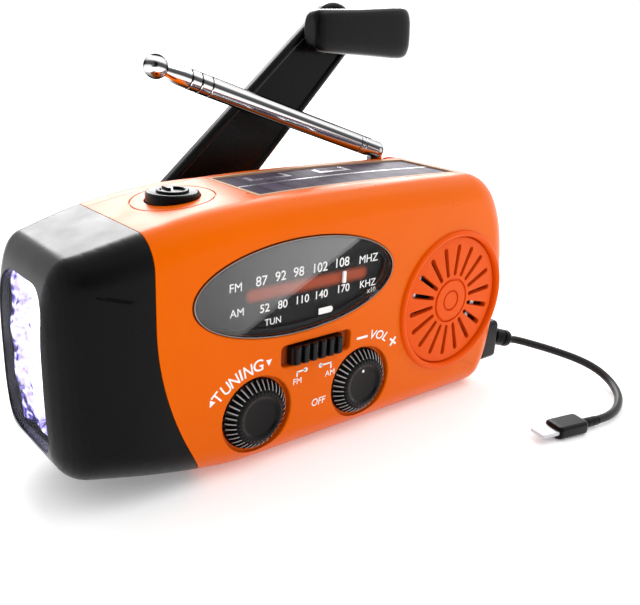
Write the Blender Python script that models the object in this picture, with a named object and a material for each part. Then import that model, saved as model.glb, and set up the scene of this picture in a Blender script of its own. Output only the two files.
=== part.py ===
"""Hand-crank, solar and battery emergency radio with a torch.

Frame: +X towards the speaker and USB end, -X towards the torch nose,
+Y to the rear, +Z up. The origin is on the underside, at the middle of the case.
Dimensions below are in millimetres; the meshes are written in metres.
"""

import math

import bmesh
import bpy
from mathutils import Matrix, Vector

MM = 0.001
# the shapes are drawn with the underside at -LIFT, then brought to the final size and height
SIZE = 0.97
LIFT = 4.0
GAP = 0.3

# case
HALF_DEPTH = 24.35
EDGE_R = 8.5
WALL = 2.2
PART_Y = 12.9
NOSE_X = -50.0
NOSE_END_X = -79.4
NOSE_NARROW = 0.273
CAP_X = -53.4
CAP_SWEEP = 13.2
CAP_SWEEP_Z = 45.0
# outline of the case seen from the front: x, z, direction of travel in degrees, steps to the next
OUTLINE = (
    (70.5, -4.0, 0, 5),
    (82.4, 16.5, 83.4, 2),
    (84.65, 29.6, 92.6, 3),
    (81.8, 51.5, 104.8, 6),
    (63.3, 71.63, 178, 3),
    (19.0, 72.49, 180, 6),
    (-52.5, 67.54, 192.5, 2),
    (-70.6, 63.0, 193, 5),
    (-76.9, 53.6, 258, 3),
    (-78.34, 33.0, 270, 3),
    (-77.35, 12.5, 279, 5),
    (-69.8, 3.9, 352, 4),
    (-22.0, -4.0, 360, 1),
)

# front face
SPEAKER = (55.1, 31.3)
GRILLE_R = 21.6
DRIVER = (54.8, 32.6)
DRIVER_R = 16.4
TUNING = (-22.6, 12.2)
VOLUME = (16.1, 12.2)
KNOB_WELL_R = 11.6
KNOB_WELL_DEPTH = 2.0
KNOB_R = 10.7
KNOB_FRONT = -26.2
DIAL = (-8.35, 47.9)
DIAL_A = 34.7
DIAL_B = 13.7
POINTER_X = 8.8
POINTER_Z = (45.1, 48.7)
BAND_SLOT = (-14.8, 10.8, 24.4, 31.0)
BAND_SLIDER = (-11.8, 6.8)

# top
TORCH_BUTTON = (-34.6, 0.0)
BUTTON_R = 7.3
BUTTON_TOP = 72.8
PANEL = (-16.7, 63.3, -14.7, 11.8)

# antenna
ANT = Vector((55.6, 17.5, 74.6))
ANT_TILT = math.radians(18.4)
ANT_R = 3.1
ANT_TIP = 89.4

# crank
HUB = Vector((-38.0, 28.5, 35.8))
HUB_R = 11.4
CRANK_ANGLE = math.radians(41.3)
CRANK_TILT = math.radians(4.0)
CRANK_R = 116.6
ARM_HALF_T = 2.2
POCKET = (32.0, 90.0, 26.3, 45.3)
POCKET_FLOOR = 15.3

# gear train
MODULE = 1.25
CRANK_TEETH = 24
PINION_TEETH = 8
PRESSURE = math.radians(25)
IDLER_ANGLE = math.radians(-20)
GEN_ANGLE = math.radians(40)

# plug and cable
PLUG_Y = -16.5
PLUG_Z = 9.0
CABLE_R = 1.4
CABLE_END_Z = -2.3

ORANGE = (0.95, 0.16, 0.008, 1)
ORANGE_DEEP = (0.83, 0.12, 0.008, 1)
BLACK = (0.012, 0.012, 0.012, 1)
CHROME = (0.8, 0.8, 0.82, 1)
STEEL = (0.5, 0.5, 0.52, 1)
WHITE = (0.85, 0.85, 0.85, 1)
GREEN = (0.03, 0.18, 0.07, 1)
BRASS = (0.6, 0.42, 0.14, 1)

for old in list(bpy.data.objects):
    bpy.data.objects.remove(old, do_unlink=True)
scene = bpy.context.scene.collection
materials = {}


def finish(name, colour, roughness, metallic=0.0):
    if name not in materials:
        made = bpy.data.materials.new(name)
        made.use_nodes = True
        shader = made.node_tree.nodes["Principled BSDF"]
        shader.inputs["Base Color"].default_value = colour
        shader.inputs["Roughness"].default_value = roughness
        shader.inputs["Metallic"].default_value = metallic
        materials[name] = made
    return materials[name]


def orange():
    return finish("orange_plastic", ORANGE, 0.4)


def black():
    return finish("black_plastic", BLACK, 0.5)


def chrome():
    return finish("chrome", CHROME, 0.12, 1)


def steel():
    return finish("steel", STEEL, 0.35, 1)


# ---------------------------------------------------------------- shape tools


def made(name, bm):
    bmesh.ops.remove_doubles(bm, verts=bm.verts, dist=1e-7)
    bmesh.ops.recalc_face_normals(bm, faces=bm.faces)
    mesh = bpy.data.meshes.new(name)
    bm.to_mesh(mesh)
    bm.free()
    obj = bpy.data.objects.new(name, mesh)
    scene.objects.link(obj)
    return obj


def helper(bm):
    return made("cutter", bm)


def rings(loops, name="cutter", capped=True):
    """A solid through closed loops of points, all with the same count, capped at both ends."""
    bm = bmesh.new()
    rows = [[bm.verts.new(Vector(p) * MM) for p in loop] for loop in loops]
    for one, other in zip(rows, rows[1:]):
        count = len(one)
        for i in range(count):
            j = (i + 1) % count
            bm.faces.new((one[i], one[j], other[j], other[i]))
    if capped:
        bm.faces.new(rows[0])
        bm.faces.new(rows[-1])
    return made(name, bm)


def place(axis, u, v, w):
    """Point with w along the axis and u, v across it."""
    return {"x": (w, u, v), "y": (u, w, v), "z": (u, v, w)}[axis]


def prism(points, low, high, axis="y", name="cutter"):
    return rings([[place(axis, u, v, w) for u, v in points] for w in (low, high)], name)


def box(x0, x1, y0, y1, z0, z1, name="cutter"):
    return prism([(x0, z0), (x1, z0), (x1, z1), (x0, z1)], y0, y1, "y", name)


def ellipse(cu, cv, a, b, count=32):
    return [
        (
            cu + a * math.cos(2 * math.pi * i / count),
            cv + b * math.sin(2 * math.pi * i / count),
        )
        for i in range(count)
    ]


def round_rect(u0, u1, v0, v1, r, steps=3):
    points = []
    for cu, cv, start in (
        (u1 - r, v1 - r, 0),
        (u0 + r, v1 - r, 90),
        (u0 + r, v0 + r, 180),
        (u1 - r, v0 + r, 270),
    ):
        for i in range(steps + 1):
            a = math.radians(start + 90 * i / steps)
            points.append((cu + r * math.cos(a), cv + r * math.sin(a)))
    return points


def cylinder(u, v, r, low, high, axis="y", count=24, name="cutter"):
    return prism(ellipse(u, v, r, r, count), low, high, axis, name)


def lathe(profile, u=0.0, v=0.0, axis="y", count=24, name="cutter"):
    """Turns (position along the axis, radius) pairs; a radius of 0 closes the end, and a profile that returns to its start makes a tube."""
    bm = bmesh.new()
    rows = []
    for w, r in profile:
        if r <= 0:
            rows.append([bm.verts.new(Vector(place(axis, u, v, w)) * MM)])
        else:
            rows.append(
                [
                    bm.verts.new(Vector(place(axis, a, b, w)) * MM)
                    for a, b in ellipse(u, v, r, r, count)
                ]
            )
    pairs = list(zip(rows, rows[1:]))
    if len(rows[0]) > 1 and len(rows[-1]) > 1:
        pairs.append((rows[-1], rows[0]))
    for one, other in pairs:
        for i in range(count):
            j = (i + 1) % count
            loop = [one[i % len(one)], one[j % len(one)], other[j % len(other)], other[i % len(other)]]
            corners = list(dict.fromkeys(loop))
            if len(corners) > 2:
                bm.faces.new(corners)
    return made(name, bm)


def combine(target, tool, operation):
    step = target.modifiers.new("step", "BOOLEAN")
    step.operation = operation
    step.solver = "EXACT"
    step.object = tool
    bpy.context.view_layer.update()
    graph = bpy.context.evaluated_depsgraph_get()
    mesh = bpy.data.meshes.new_from_object(target.evaluated_get(graph))
    target.modifiers.clear()
    target.data = mesh
    bpy.data.objects.remove(tool, do_unlink=True)
    return target


def cut(target, *tools):
    for tool in tools:
        combine(target, tool, "DIFFERENCE")
    return target


def join(target, *tools):
    for tool in tools:
        combine(target, tool, "UNION")
    return target


def keep(target, tool):
    return combine(target, tool, "INTERSECT")


def copied(obj):
    other = obj.copy()
    other.data = obj.data.copy()
    scene.objects.link(other)
    return other


def node(obj, name, material, origin=None, parent=None):
    obj.name = name
    obj.data.name = name
    obj.data.materials.clear()
    obj.data.materials.append(material)
    obj.data.shade_smooth()
    obj.data.set_sharp_from_angle(angle=math.radians(35))
    if origin is not None:
        shift = Vector(origin) * MM
        obj.data.transform(Matrix.Translation(-shift))
        obj.location = shift
    if parent is not None:
        obj.parent = parent
    return obj


def frame(name, origin, x_axis, y_axis):
    """An empty on a joint, with its own axes; its children are modelled in that frame."""
    empty = bpy.data.objects.new(name, None)
    scene.objects.link(empty)
    x, y = Vector(x_axis).normalized(), Vector(y_axis).normalized()
    z = x.cross(y)
    turn = Matrix((x, y, z)).transposed().to_4x4()
    empty.matrix_world = Matrix.Translation(Vector(origin) * MM) @ turn
    return empty


# ---------------------------------------------------------------- case shape


def outline():
    """Points of the case outline with their outward normals."""
    points = []
    for i, (x0, z0, a0, steps) in enumerate(OUTLINE):
        x1, z1, a1, _ = OUTLINE[(i + 1) % len(OUTLINE)]
        t0, t1 = math.radians(a0), math.radians(a1)
        turn = (t1 - t0) % (2 * math.pi)
        chord = math.hypot(x1 - x0, z1 - z0)
        h = chord / 3
        if 0.02 < turn < 3:
            h = 4 / 3 * math.tan(turn / 4) * chord / (2 * math.sin(turn / 2))
        p = (
            Vector((x0, z0)),
            Vector((x0 + h * math.cos(t0), z0 + h * math.sin(t0))),
            Vector((x1 - h * math.cos(t1), z1 - h * math.sin(t1))),
            Vector((x1, z1)),
        )
        for k in range(steps):
            t = k / steps
            at = (
                p[0] * (1 - t) ** 3
                + p[1] * 3 * t * (1 - t) ** 2
                + p[2] * 3 * t * t * (1 - t)
                + p[3] * t**3
            )
            along = (
                (p[1] - p[0]) * (1 - t) ** 2
                + (p[2] - p[1]) * 2 * t * (1 - t)
                + (p[3] - p[2]) * t * t
            ).normalized()
            points.append((at, Vector((along.y, -along.x))))
    return points


def narrow(x):
    t = min(max((NOSE_X - x) / (NOSE_X - NOSE_END_X), 0), 1.1)
    return 1 - NOSE_NARROW * t * t


def case_solid(inset=0.0, steps=3):
    """The case's outer form, drawn in by inset, with rounded front and rear edges."""
    shape = outline()
    r = EDGE_R - inset
    loops = []
    for side in (-1, 1):
        angles = [math.radians(90 * i / steps) for i in range(steps + 1)]
        for a in reversed(angles) if side < 0 else angles:
            off = inset + r * (1 - math.cos(a))
            y = side * (HALF_DEPTH - inset - r * (1 - math.sin(a)))
            loops.append([(p.x - n.x * off, y, p.y - n.y * off) for p, n in shape])
    solid = rings(loops)
    bm = bmesh.new()
    bm.from_mesh(solid.data)
    for x in (-50, -57, -63, -67, -74):
        bmesh.ops.bisect_plane(
            bm,
            geom=bm.verts[:] + bm.edges[:] + bm.faces[:],
            plane_co=((x + 0.37 * inset) * MM, 0, 0),
            plane_no=(1, 0, 0),
            dist=1e-7,
        )
    for v in bm.verts:
        v.co.y *= narrow(v.co.x / MM)
    bm.to_mesh(solid.data)
    bm.free()
    return solid


def cap_edge(z):
    return CAP_X + CAP_SWEEP * max(0.0, (CAP_SWEEP_Z - z) / CAP_SWEEP_Z) ** 2


def nose_side(offset):
    """Everything on the torch side of the nose cap's edge."""
    zs = [-8, -4, 0, 4, 8, 13, 18, 24, 30, 37, 45, 90]
    edge = [(cap_edge(z) + offset, z) for z in zs]
    return prism(edge + [(-110, 90), (-110, -8)], -60, 60)


# ---------------------------------------------------------------- case shells

cavity = case_solid(WALL, 2)
# material left behind the solar panel, the knob wells, the hub and the knob pocket
roof = box(PANEL[0] - 3, PANEL[1] + 2, PANEL[2] - 3, PART_Y - 0.15, 60, 90)
cut(roof, case_solid(4.0, 2))
cut(cavity, roof)
# x, z and where the front post starts; the last two stand on ribs from the right wall
SCREWS = ((-37.5, 8.6), (-47.0, 61.0), (72.0, 20.0), (65.0, 60.5))
cut(
    cavity,
    cylinder(*TUNING, 13.2, -30, -20.2),
    cylinder(*VOLUME, 13.2, -30, -20.2),
    box(BAND_SLOT[0] - 2, BAND_SLOT[1] + 2, -30, -20.4, BAND_SLOT[2] - 2, BAND_SLOT[3] + 2),
    cylinder(HUB.x, HUB.z, 13.9, 18.4, 30),
    box(POCKET[0] - 2, 90, 8, 30, POCKET[2] - 2, POCKET[3] + 2),
    box(-43, 66, 12, 30, 68.2, 90),
    cylinder(ANT.x, ANT.y, 6.2, 62.5, 90, "z", 16),
    box(77.2, 94, -21.8, -11.2, -9, 17.7),
)
for x, z in SCREWS[:2]:
    cut(cavity, cylinder(x, z, 3.3, -30, 30, "y", 12))
for x, z in SCREWS[2:]:
    cut(cavity, cylinder(x, z, 3.3, 2, 30, "y", 12), box(x, 90, 2.2, 30, z - 1, z + 1))
# the pocket stays within the rear shell
cut_front = box(POCKET[0] - 3, 74, 2, PART_Y - 0.15, POCKET[2] - 3, POCKET[3] + 3)
join(cavity, cut_front)

hollow = case_solid(0, 3)
cut(hollow, cavity)

body = copied(hollow)
cut(body, nose_side(0.15))
front = copied(body)
cut(front, box(-120, 120, PART_Y - 0.15, 60, -20, 120))
rear = body
cut(rear, box(-120, 120, -60, PART_Y + 0.15, -20, 120))
cap = hollow
keep(cap, nose_side(-0.15))

# front shell openings
cut(
    front,
    prism(ellipse(*DIAL, DIAL_A + GAP, DIAL_B + GAP, 40), -40, -22.8),
    prism(ellipse(*DIAL, DIAL_A - 1.6, DIAL_B - 1.6, 40), -40, -15),
    cylinder(*TUNING, KNOB_WELL_R, -40, -HALF_DEPTH + KNOB_WELL_DEPTH, "y", 24),
    cylinder(*VOLUME, KNOB_WELL_R, -40, -HALF_DEPTH + KNOB_WELL_DEPTH, "y", 24),
    cylinder(*TUNING, 3.4, -40, -15, "y", 12),
    cylinder(*VOLUME, 3.4, -40, -15, "y", 12),
    prism(round_rect(*BAND_SLOT, 1.6, 2), -40, -22.7),
    box(BAND_SLIDER[0] + 1.2, BAND_SLIDER[1] + 1.6, -40, -15, 26.2, 29.2),
    cylinder(*SPEAKER, GRILLE_R + GAP, -40, -10, "y", 40),
    cylinder(*TORCH_BUTTON, BUTTON_R + 0.4, 60, 90, "z", 24),
    prism(round_rect(79.8, 95, 0.9, 17.1, 0.01, 1), PLUG_Y - 4.9, PLUG_Y + 4.9),
    box(64.6, 95, PLUG_Y - 3.1, PLUG_Y + 3.1, PLUG_Z - 6.6, PLUG_Z + 6.6),
)
bed = box(PANEL[0] - GAP, PANEL[1] + GAP, PANEL[2] - GAP, PANEL[3] + GAP, 60, 90)
cut(bed, case_solid(2.0, 2))
cut(front, bed)
DOOR = (12.0, 58.0, -6.0, 12.0)
cut(front, box(DOOR[0] - GAP, DOOR[1] + GAP, DOOR[2] - GAP, DOOR[3] + GAP, -9, 1))
for x, z in SCREWS:
    cut(front, cylinder(x, z, 1.7, 4, 20, "y", 10))

# rear shell openings
cut(
    rear,
    cylinder(HUB.x, HUB.z, HUB_R + 0.5, 20.3, 60, "y", 24),
    cylinder(HUB.x, HUB.z, 4.4, 10, 60, "y", 16),
    prism(round_rect(POCKET[0], POCKET[1], POCKET[2], POCKET[3], 3, 2), POCKET_FLOOR, 60),
    box(-39, ANT.x + 6.5, ANT.y - ANT_R - 0.6, ANT.y + ANT_R + 0.6, 70.3, 90),
    cylinder(ANT.x, ANT.y, 4.7, 65.0, 90, "z", 20),
)
for x, z in SCREWS:
    cut(
        rear,
        cylinder(x, z, 1.8, 4, 40, "y", 10),
        cylinder(x, z, 3.0, 20.6, 40, "y", 12),
    )

# nose cap: window for the torch
LENS = (-13.2, 13.2, 10.5, 55.5)
cut(
    cap,
    prism(round_rect(LENS[0], LENS[1], LENS[2], LENS[3], 7, 3), -100, -66, "x"),
)

node(front, "front_shell", orange())
node(rear, "rear_shell", orange())
node(cap, "nose_cap", black())

# ---------------------------------------------------------------- torch

lens = prism(
    round_rect(LENS[0] + GAP, LENS[1] - GAP, LENS[2] + GAP, LENS[3] - GAP, 6.7, 3),
    -100,
    -60,
    "x",
)
keep(lens, case_solid(0.5, 2))
cut(lens, case_solid(2.1, 2))
cut(lens, box(-72, 0, -60, 60, -10, 100))
node(lens, "torch_lens", finish("clear_lens", (0.9, 0.92, 1, 1), 0.05))

LED_Z = (18.8, 33.0, 47.2)
reflector = prism(
    round_rect(LENS[0] + 0.5, LENS[1] - 0.5, LENS[2] + 0.6, LENS[3] - 0.6, 6.3, 3),
    -73.4,
    -60.5,
    "x",
)
for z in LED_Z:
    cut(reflector, lathe([(-60, 0), (-60, 2.9), (-66, 3.2), (-74, 7.1), (-74, 0)], 0, z, "x", 16))
node(reflector, "torch_reflector", finish("reflector", (0.55, 0.45, 0.9, 1), 0.1, 1))
for i, z in enumerate(LED_Z):
    led = lathe(
        [(-68.0, 0), (-67.4, 1.5), (-66.2, 2.4), (-59.6, 2.4), (-59.6, 0)], 0, z, "x", 12
    )
    node(led, f"torch_led_{i + 1}", finish("led", WHITE, 0.2))
node(box(-59.3, -57.7, -11, 11, 11, 54), "led_board", finish("board", GREEN, 0.5))

# ---------------------------------------------------------------- dial

window = rings(
    [
        [(u, y, v) for u, v in ellipse(*DIAL, DIAL_A - k, DIAL_B - k, 40)]
        for y, k in ((-24.6, 1.2), (-24.2, 0), (-23.1, 0))
    ]
)
node(window, "dial_window", finish("smoked_window", (0.02, 0.02, 0.02, 1), 0.08))
plate = prism(ellipse(*DIAL, DIAL_A + 0.8, DIAL_B + 0.8, 32), -21.7, -20.9)
node(plate, "dial_plate", finish("dial_plate", (0.03, 0.03, 0.03, 1), 0.5))
pointer = box(POINTER_X - 0.6, POINTER_X + 0.6, -22.6, -22.0, *POINTER_Z)
node(pointer, "dial_pointer", finish("pointer", WHITE, 0.4), (POINTER_X, -22.3, DIAL[1]))


def control_knob(name, x, z):
    y0 = -HALF_DEPTH + KNOB_WELL_DEPTH - GAP
    knob = lathe(
        [
            (KNOB_FRONT + 0.7, 0),
            (KNOB_FRONT + 0.7, 5.6),
            (KNOB_FRONT, 6.2),
            (KNOB_FRONT, 7.6),
            (KNOB_FRONT + 0.9, 8.8),
            (y0, KNOB_R),
            (y0, 3.0),
            (-15.0, 3.0),
            (-15.0, 0),
        ],
        x,
        z,
        "y",
        20,
    )
    return node(knob, name, black(), (x, KNOB_FRONT, z))


control_knob("tuning_knob", *TUNING)
control_knob("volume_knob", *VOLUME)
capacitor = box(-32.4, -12.8, -19.8, -8.6, 5.2, 21.4)
cut(capacitor, cylinder(*TUNING, 3.4, -25, -14.4, "y", 12))
node(capacitor, "tuning_capacitor", finish("film_box", (0.75, 0.75, 0.7, 1), 0.5))
pot = cylinder(*VOLUME, 8.2, -19.8, -10.5, "y", 20)
cut(pot, cylinder(*VOLUME, 3.4, -25, -14.4, "y", 12))
node(pot, "volume_potentiometer", steel())

slider = rings(
    [
        [(u, y, v) for u, v in round_rect(BAND_SLIDER[0] + k, BAND_SLIDER[1] - k, 24.9 + k, 30.5 - k, 0.8, 2)]
        for y, k in ((-26.4, 0.5), (-25.9, 0), (-23.0, 0))
    ]
)
join(slider, box(-6.6, 1.6, -23.5, -18.2, 26.5, 28.9))
node(slider, "band_slider", black(), (-2.5, -26.4, 27.7))
node(box(-12.5, 8.0, -17.9, -11.5, 23.4, 32.0), "band_switch", steel())

# ---------------------------------------------------------------- speaker

grille = lathe(
    [(-24.0, 0), (-24.0, 20.9), (-23.6, GRILLE_R), (-21.9, GRILLE_R), (-21.9, 0)],
    *SPEAKER,
    "y",
    40,
)
for i in range(18):
    a = math.radians(20 * i + 5)
    c, s = math.cos(a), math.sin(a)
    slot = [(8.4, -0.55), (18.6, -1.15), (19.2, 0), (18.6, 1.15), (8.4, 0.55)]
    cut(
        grille,
        prism([(SPEAKER[0] + c * u - s * v, SPEAKER[1] + s * u + c * v) for u, v in slot], -26, -20),
    )
node(grille, "speaker_grille", finish("deep_orange_plastic", ORANGE_DEEP, 0.45))
basket = lathe(
    [
        (-21.4, 14.6),
        (-21.4, DRIVER_R),
        (-19.6, DRIVER_R),
        (-13.6, 9.6),
        (-11.2, 9.6),
        (-11.2, 4.2),
        (-12.6, 4.2),
        (-12.6, 8.2),
        (-14.4, 8.4),
        (-20.2, 14.6),
    ],
    *DRIVER,
    "y",
    18,
)
node(basket, "speaker_basket", steel())
cone = lathe(
    [
        (-20.9, 14.2),
        (-20.0, 14.2),
        (-15.4, 7.9),
        (-13.2, 3.8),
        (-13.2, 0),
        (-14.6, 0),
        (-16.8, 3.9),
        (-20.9, 13.0),
    ],
    *DRIVER,
    "y",
    18,
)
node(cone, "speaker_cone", finish("cone_paper", (0.03, 0.03, 0.03, 1), 0.9))
magnet = lathe(
    [(-12.3, 0), (-12.3, 3.8), (-10.9, 3.8), (-10.9, 9.4), (-6.6, 9.4), (-6.6, 0)], *DRIVER, "y", 16
)
node(magnet, "speaker_magnet", steel())

# ---------------------------------------------------------------- top

button = lathe(
    [
        (BUTTON_TOP, 0),
        (BUTTON_TOP, BUTTON_R - 0.9),
        (BUTTON_TOP - 0.7, BUTTON_R),
        (65.6, BUTTON_R),
        (65.6, 8.6),
        (64.6, 8.6),
        (64.6, 2.6),
        (60.4, 2.6),
        (60.4, 0),
    ][::-1],
    *TORCH_BUTTON,
    "z",
    20,
)
node(button, "torch_button", black(), (*TORCH_BUTTON, BUTTON_TOP))
node(box(-39.6, -29.6, -5, 5, 51.0, 58.4), "torch_switch", steel())

bezel = box(PANEL[0], PANEL[1], PANEL[2], PANEL[3], 60, 90)
cut(bezel, box(PANEL[0] + 1.1, PANEL[1] - 1.1, PANEL[2] + 1.1, PANEL[3] - 1.1, 50, 95))
keep(bezel, case_solid(0.0, 2))
cut(bezel, case_solid(1.7, 2))
node(bezel, "solar_bezel", finish("bezel", (0.8, 0.6, 0.5, 1), 0.4))
panel = box(PANEL[0] + 1.4, PANEL[1] - 1.4, PANEL[2] + 1.4, PANEL[3] - 1.4, 60, 90)
keep(panel, case_solid(0.3, 2))
cut(panel, case_solid(1.7, 2))
node(panel, "solar_panel", finish("solar_cells", (0.06, 0.03, 0.08, 1), 0.15))

# ---------------------------------------------------------------- inside

board = box(-42.5, 27, -7.8, -6.2, 23.6, 62.5)
node(board, "main_board", finish("board", GREEN, 0.5))
node(
    cylinder(2.5, 12.4, 9.1, 11, 59, "x", 20),
    "battery_cell",
    finish("cell_wrap", (0.05, 0.15, 0.5, 1), 0.4),
)
node(
    cylinder(1.5, 61.2, 4.6, -22, 30, "x", 14),
    "ferrite_rod",
    finish("ferrite", (0.05, 0.05, 0.05, 1), 0.6),
)
door = box(DOOR[0], DOOR[1], DOOR[2], DOOR[3], -4.0, -2.1)
cut(door, cylinder(54, 3, 1.5, -9, 1, "z", 10), cylinder(54, 3, 2.6, -9, -2.85, "z", 14))
node(door, "battery_door", orange())
door_screw = lathe([(-3.85, 0), (-3.85, 2.2), (-3.2, 2.2), (-3.2, 1.2), (-1.1, 1.2), (-1.1, 0)][::-1], 54, 3, "z", 10)
cut(door_screw, box(52.5, 55.5, 2.65, 3.35, -5, -3.5))
node(door_screw, "battery_door_screw", steel())
for i, (x, z) in enumerate(SCREWS):
    screw = lathe([(22.4, 0), (22.4, 2.4), (20.9, 2.4), (20.9, 1.4), (6.0, 1.4), (6.0, 0)], x, z, "y", 10)
    cut(screw, box(x - 1.6, x + 1.6, 21.6, 30, z - 0.35, z + 0.35))
    node(screw, f"case_screw_{i + 1}", steel())

# ---------------------------------------------------------------- antenna

swivel = lathe([(65.4, 0), (65.4, 4.4), (70.4, 4.4), (70.4, 0)], ANT.x, ANT.y, "z", 20)
tongue = prism(
    [(ANT.x - 2.7, 69.0), (ANT.x + 2.7, 69.0), (ANT.x + 2.7, ANT.z)]
    + [
        (ANT.x + 2.7 * math.cos(math.radians(a)), ANT.z + 2.7 * math.sin(math.radians(a)))
        for a in range(30, 180, 30)
    ]
    + [(ANT.x - 2.7, ANT.z)],
    ANT.y - 1.0,
    ANT.y + 1.0,
)
join(swivel, tongue)
cut(swivel, cylinder(ANT.x, ANT.z, 1.15, 0, 40, "y", 10))
node(swivel, "antenna_swivel", chrome(), (ANT.x, ANT.y, 70.4))

antenna = frame(
    "antenna_tilt_axis",
    ANT,
    (-math.cos(ANT_TILT), 0, math.sin(ANT_TILT)),
    (0, 1, 0),
)


def section(name, profile, count=10):
    return node(lathe(profile, 0, 0, "x", count), name, chrome(), parent=antenna)


knuckle = lathe(
    [(-ANT_R, 0), (-2.7, 1.55), (-1.55, 2.7), (0, ANT_R), (7.0, ANT_R), (7.3, 2.7), (8.0, 2.7), (8.3, ANT_R), (9.2, ANT_R), (9.2, 0)],
    0,
    0,
    "x",
    12,
)
cut(knuckle, box(-5, 4.3, -1.35, 1.35, -5, 5), cylinder(0, 0, 1.15, -9, 9, "y", 10))
node(knuckle, "antenna_knuckle", chrome(), parent=antenna)
node(cylinder(0, 0, 0.85, -3.05, 3.05, "y", 10), "antenna_pin", steel(), parent=antenna)
section("antenna_tube_1", [(9.5, 2.7), (9.5, ANT_R), (71.6, ANT_R), (71.6, 2.7)])
section(
    "antenna_tube_2",
    [(11.0, 1.95), (11.0, 2.4), (71.9, 2.4), (71.9, 3.0), (75.0, 3.0), (75.3, 2.7), (75.3, 1.95)],
)
section(
    "antenna_tube_3",
    [(12.5, 1.25), (12.5, 1.65), (75.6, 1.65), (75.6, 2.85), (78.4, 2.85), (78.7, 2.55), (78.7, 1.25)],
)
tip = []
for k in range(6, -1, -1):
    a = math.radians(180 * k / 8)
    tip.append((ANT_TIP + 3.4 * math.cos(a), 3.4 * math.sin(a)))
tip = [(p, max(r, 0)) for p, r in tip]
section(
    "antenna_tube_4",
    [(14.0, 0), (14.0, 0.95), (79.0, 0.95), (79.0, 2.7), (81.8, 2.7), (84.4, 2.0), (85.6, 2.0)] + tip,
)

# ---------------------------------------------------------------- crank

ALONG = Vector((math.cos(CRANK_ANGLE), 0, math.sin(CRANK_ANGLE)))
ACROSS = Vector((-math.sin(CRANK_ANGLE), 0, math.cos(CRANK_ANGLE)))
OUT = Vector((0, 1, 0))

hub = lathe(
    [(14.6, 0), (14.6, 2.7), (18.2, 2.7), (18.2, 4.0), (20.6, 4.0), (20.6, HUB_R), (24.2, HUB_R), (24.8, HUB_R - 0.7), (24.8, 0)],
    HUB.x,
    HUB.z,
    "y",
    20,
)


def turned(points):
    """Outline given along and across the arm, in the case's frame."""
    return [
        (HUB.x + ALONG.x * u + ACROSS.x * v, HUB.z + ALONG.z * u + ACROSS.z * v) for u, v in points
    ]


for side in (-1, 1):
    a, b = sorted((side * 6.6, side * 9.6))
    ear = rings(
        [
            [
                HUB + ALONG * u + OUT * w + ACROSS * t
                for u, w in [(-4.5, -5.0), (4.5, -5.0), (3.6, 0)]
                + [(3.6 * math.cos(math.radians(d)), 3.6 * math.sin(math.radians(d))) for d in (30, 60, 90, 120, 150)]
                + [(-3.6, 0)]
            ]
            for t in (a, b)
        ]
    )
    join(hub, ear)
pin_hole = rings(
    [
        [HUB + ALONG * (1.7 * math.cos(d)) + OUT * (1.7 * math.sin(d)) + ACROSS * t for d in [math.radians(36 * k) for k in range(10)]]
        for t in (-20, 20)
    ]
)
cut(hub, pin_hole)
node(hub, "crank_hub", black(), (HUB.x, 20.6, HUB.z))
hinge_pin = rings(
    [
        [HUB + ALONG * (1.4 * math.cos(d)) + OUT * (1.4 * math.sin(d)) + ACROSS * t for d in [math.radians(36 * k) for k in range(10)]]
        for t in (-9.7, 9.7)
    ]
)
node(hinge_pin, "crank_hinge_pin", steel(), (HUB.x, HUB.y, HUB.z))

tilted_along = ALONG * math.cos(CRANK_TILT) + OUT * math.sin(CRANK_TILT)
tilted_out = OUT * math.cos(CRANK_TILT) - ALONG * math.sin(CRANK_TILT)
crank = frame("crank_fold_axis", HUB, tilted_along, tilted_out)

root = [(3.2 * math.cos(math.radians(d)), 3.2 * math.sin(math.radians(d))) for d in range(90, 271, 30)]
tongue = rings([[(u, w, t) for u, w in root + [(16, -3.2), (16, 3.2)]] for t in (-6.2, 6.2)])
TIP_HALF = 9.6
blade = [(12.0, -11.0), (15.0, -13.4)]
blade += [
    (CRANK_R + TIP_HALF * math.cos(math.radians(d)), TIP_HALF * math.sin(math.radians(d)))
    for d in range(-85, 86, 17)
]
blade += [(15.0, 13.4), (12.0, 11.0)]
middle = (CRANK_R / 2, 0)
arm = rings(
    [
        [(u + (middle[0] - u) * k * 0.012, w, v * (1 - 0.055 * k)) for u, v in blade]
        for w, k in ((-ARM_HALF_T, 1.6), (-ARM_HALF_T + 1.0, 0), (ARM_HALF_T - 1.0, 0), (ARM_HALF_T, 1.6))
    ]
)
join(arm, tongue)
cut(arm, cylinder(0, 0, 1.7, -20, 20, "z", 10), cylinder(CRANK_R, 0, 2.9, -10, 10, "y", 14))
node(arm, "crank_arm", black(), parent=crank)

knob_axis = bpy.data.objects.new("crank_knob_axis", None)
scene.objects.link(knob_axis)
knob_axis.parent = crank
knob_axis.matrix_local = Matrix.Translation(Vector((CRANK_R, 0, 0)) * MM) @ Matrix.Rotation(
    CRANK_ANGLE, 4, "Y"
)
KNOB_T = 8.0
grip_loops = []
for x, half, k in (
    (-15.6, 5.0, 1.6),
    (-14.0, 6.8, 0.5),
    (-9.6, 7.6, 0),
    (2.0, 8.0, 0),
    (13.0, 8.5, 0),
    (24.6, 8.8, 0),
    (28.6, 8.0, 0.6),
    (30.4, 5.8, 1.8),
):
    y0, y1 = -ARM_HALF_T - 0.4 - KNOB_T + k, -ARM_HALF_T - 0.4 - k * 0.6
    grip_loops.append([(x, u, v) for u, v in round_rect(y0, y1, -half, half, 1.9, 2)])
grip = rings(grip_loops)
cut(grip, cylinder(0, 0, 2.9, -10.0, 0, "y", 14))
node(grip, "crank_knob", black(), parent=knob_axis)
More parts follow.
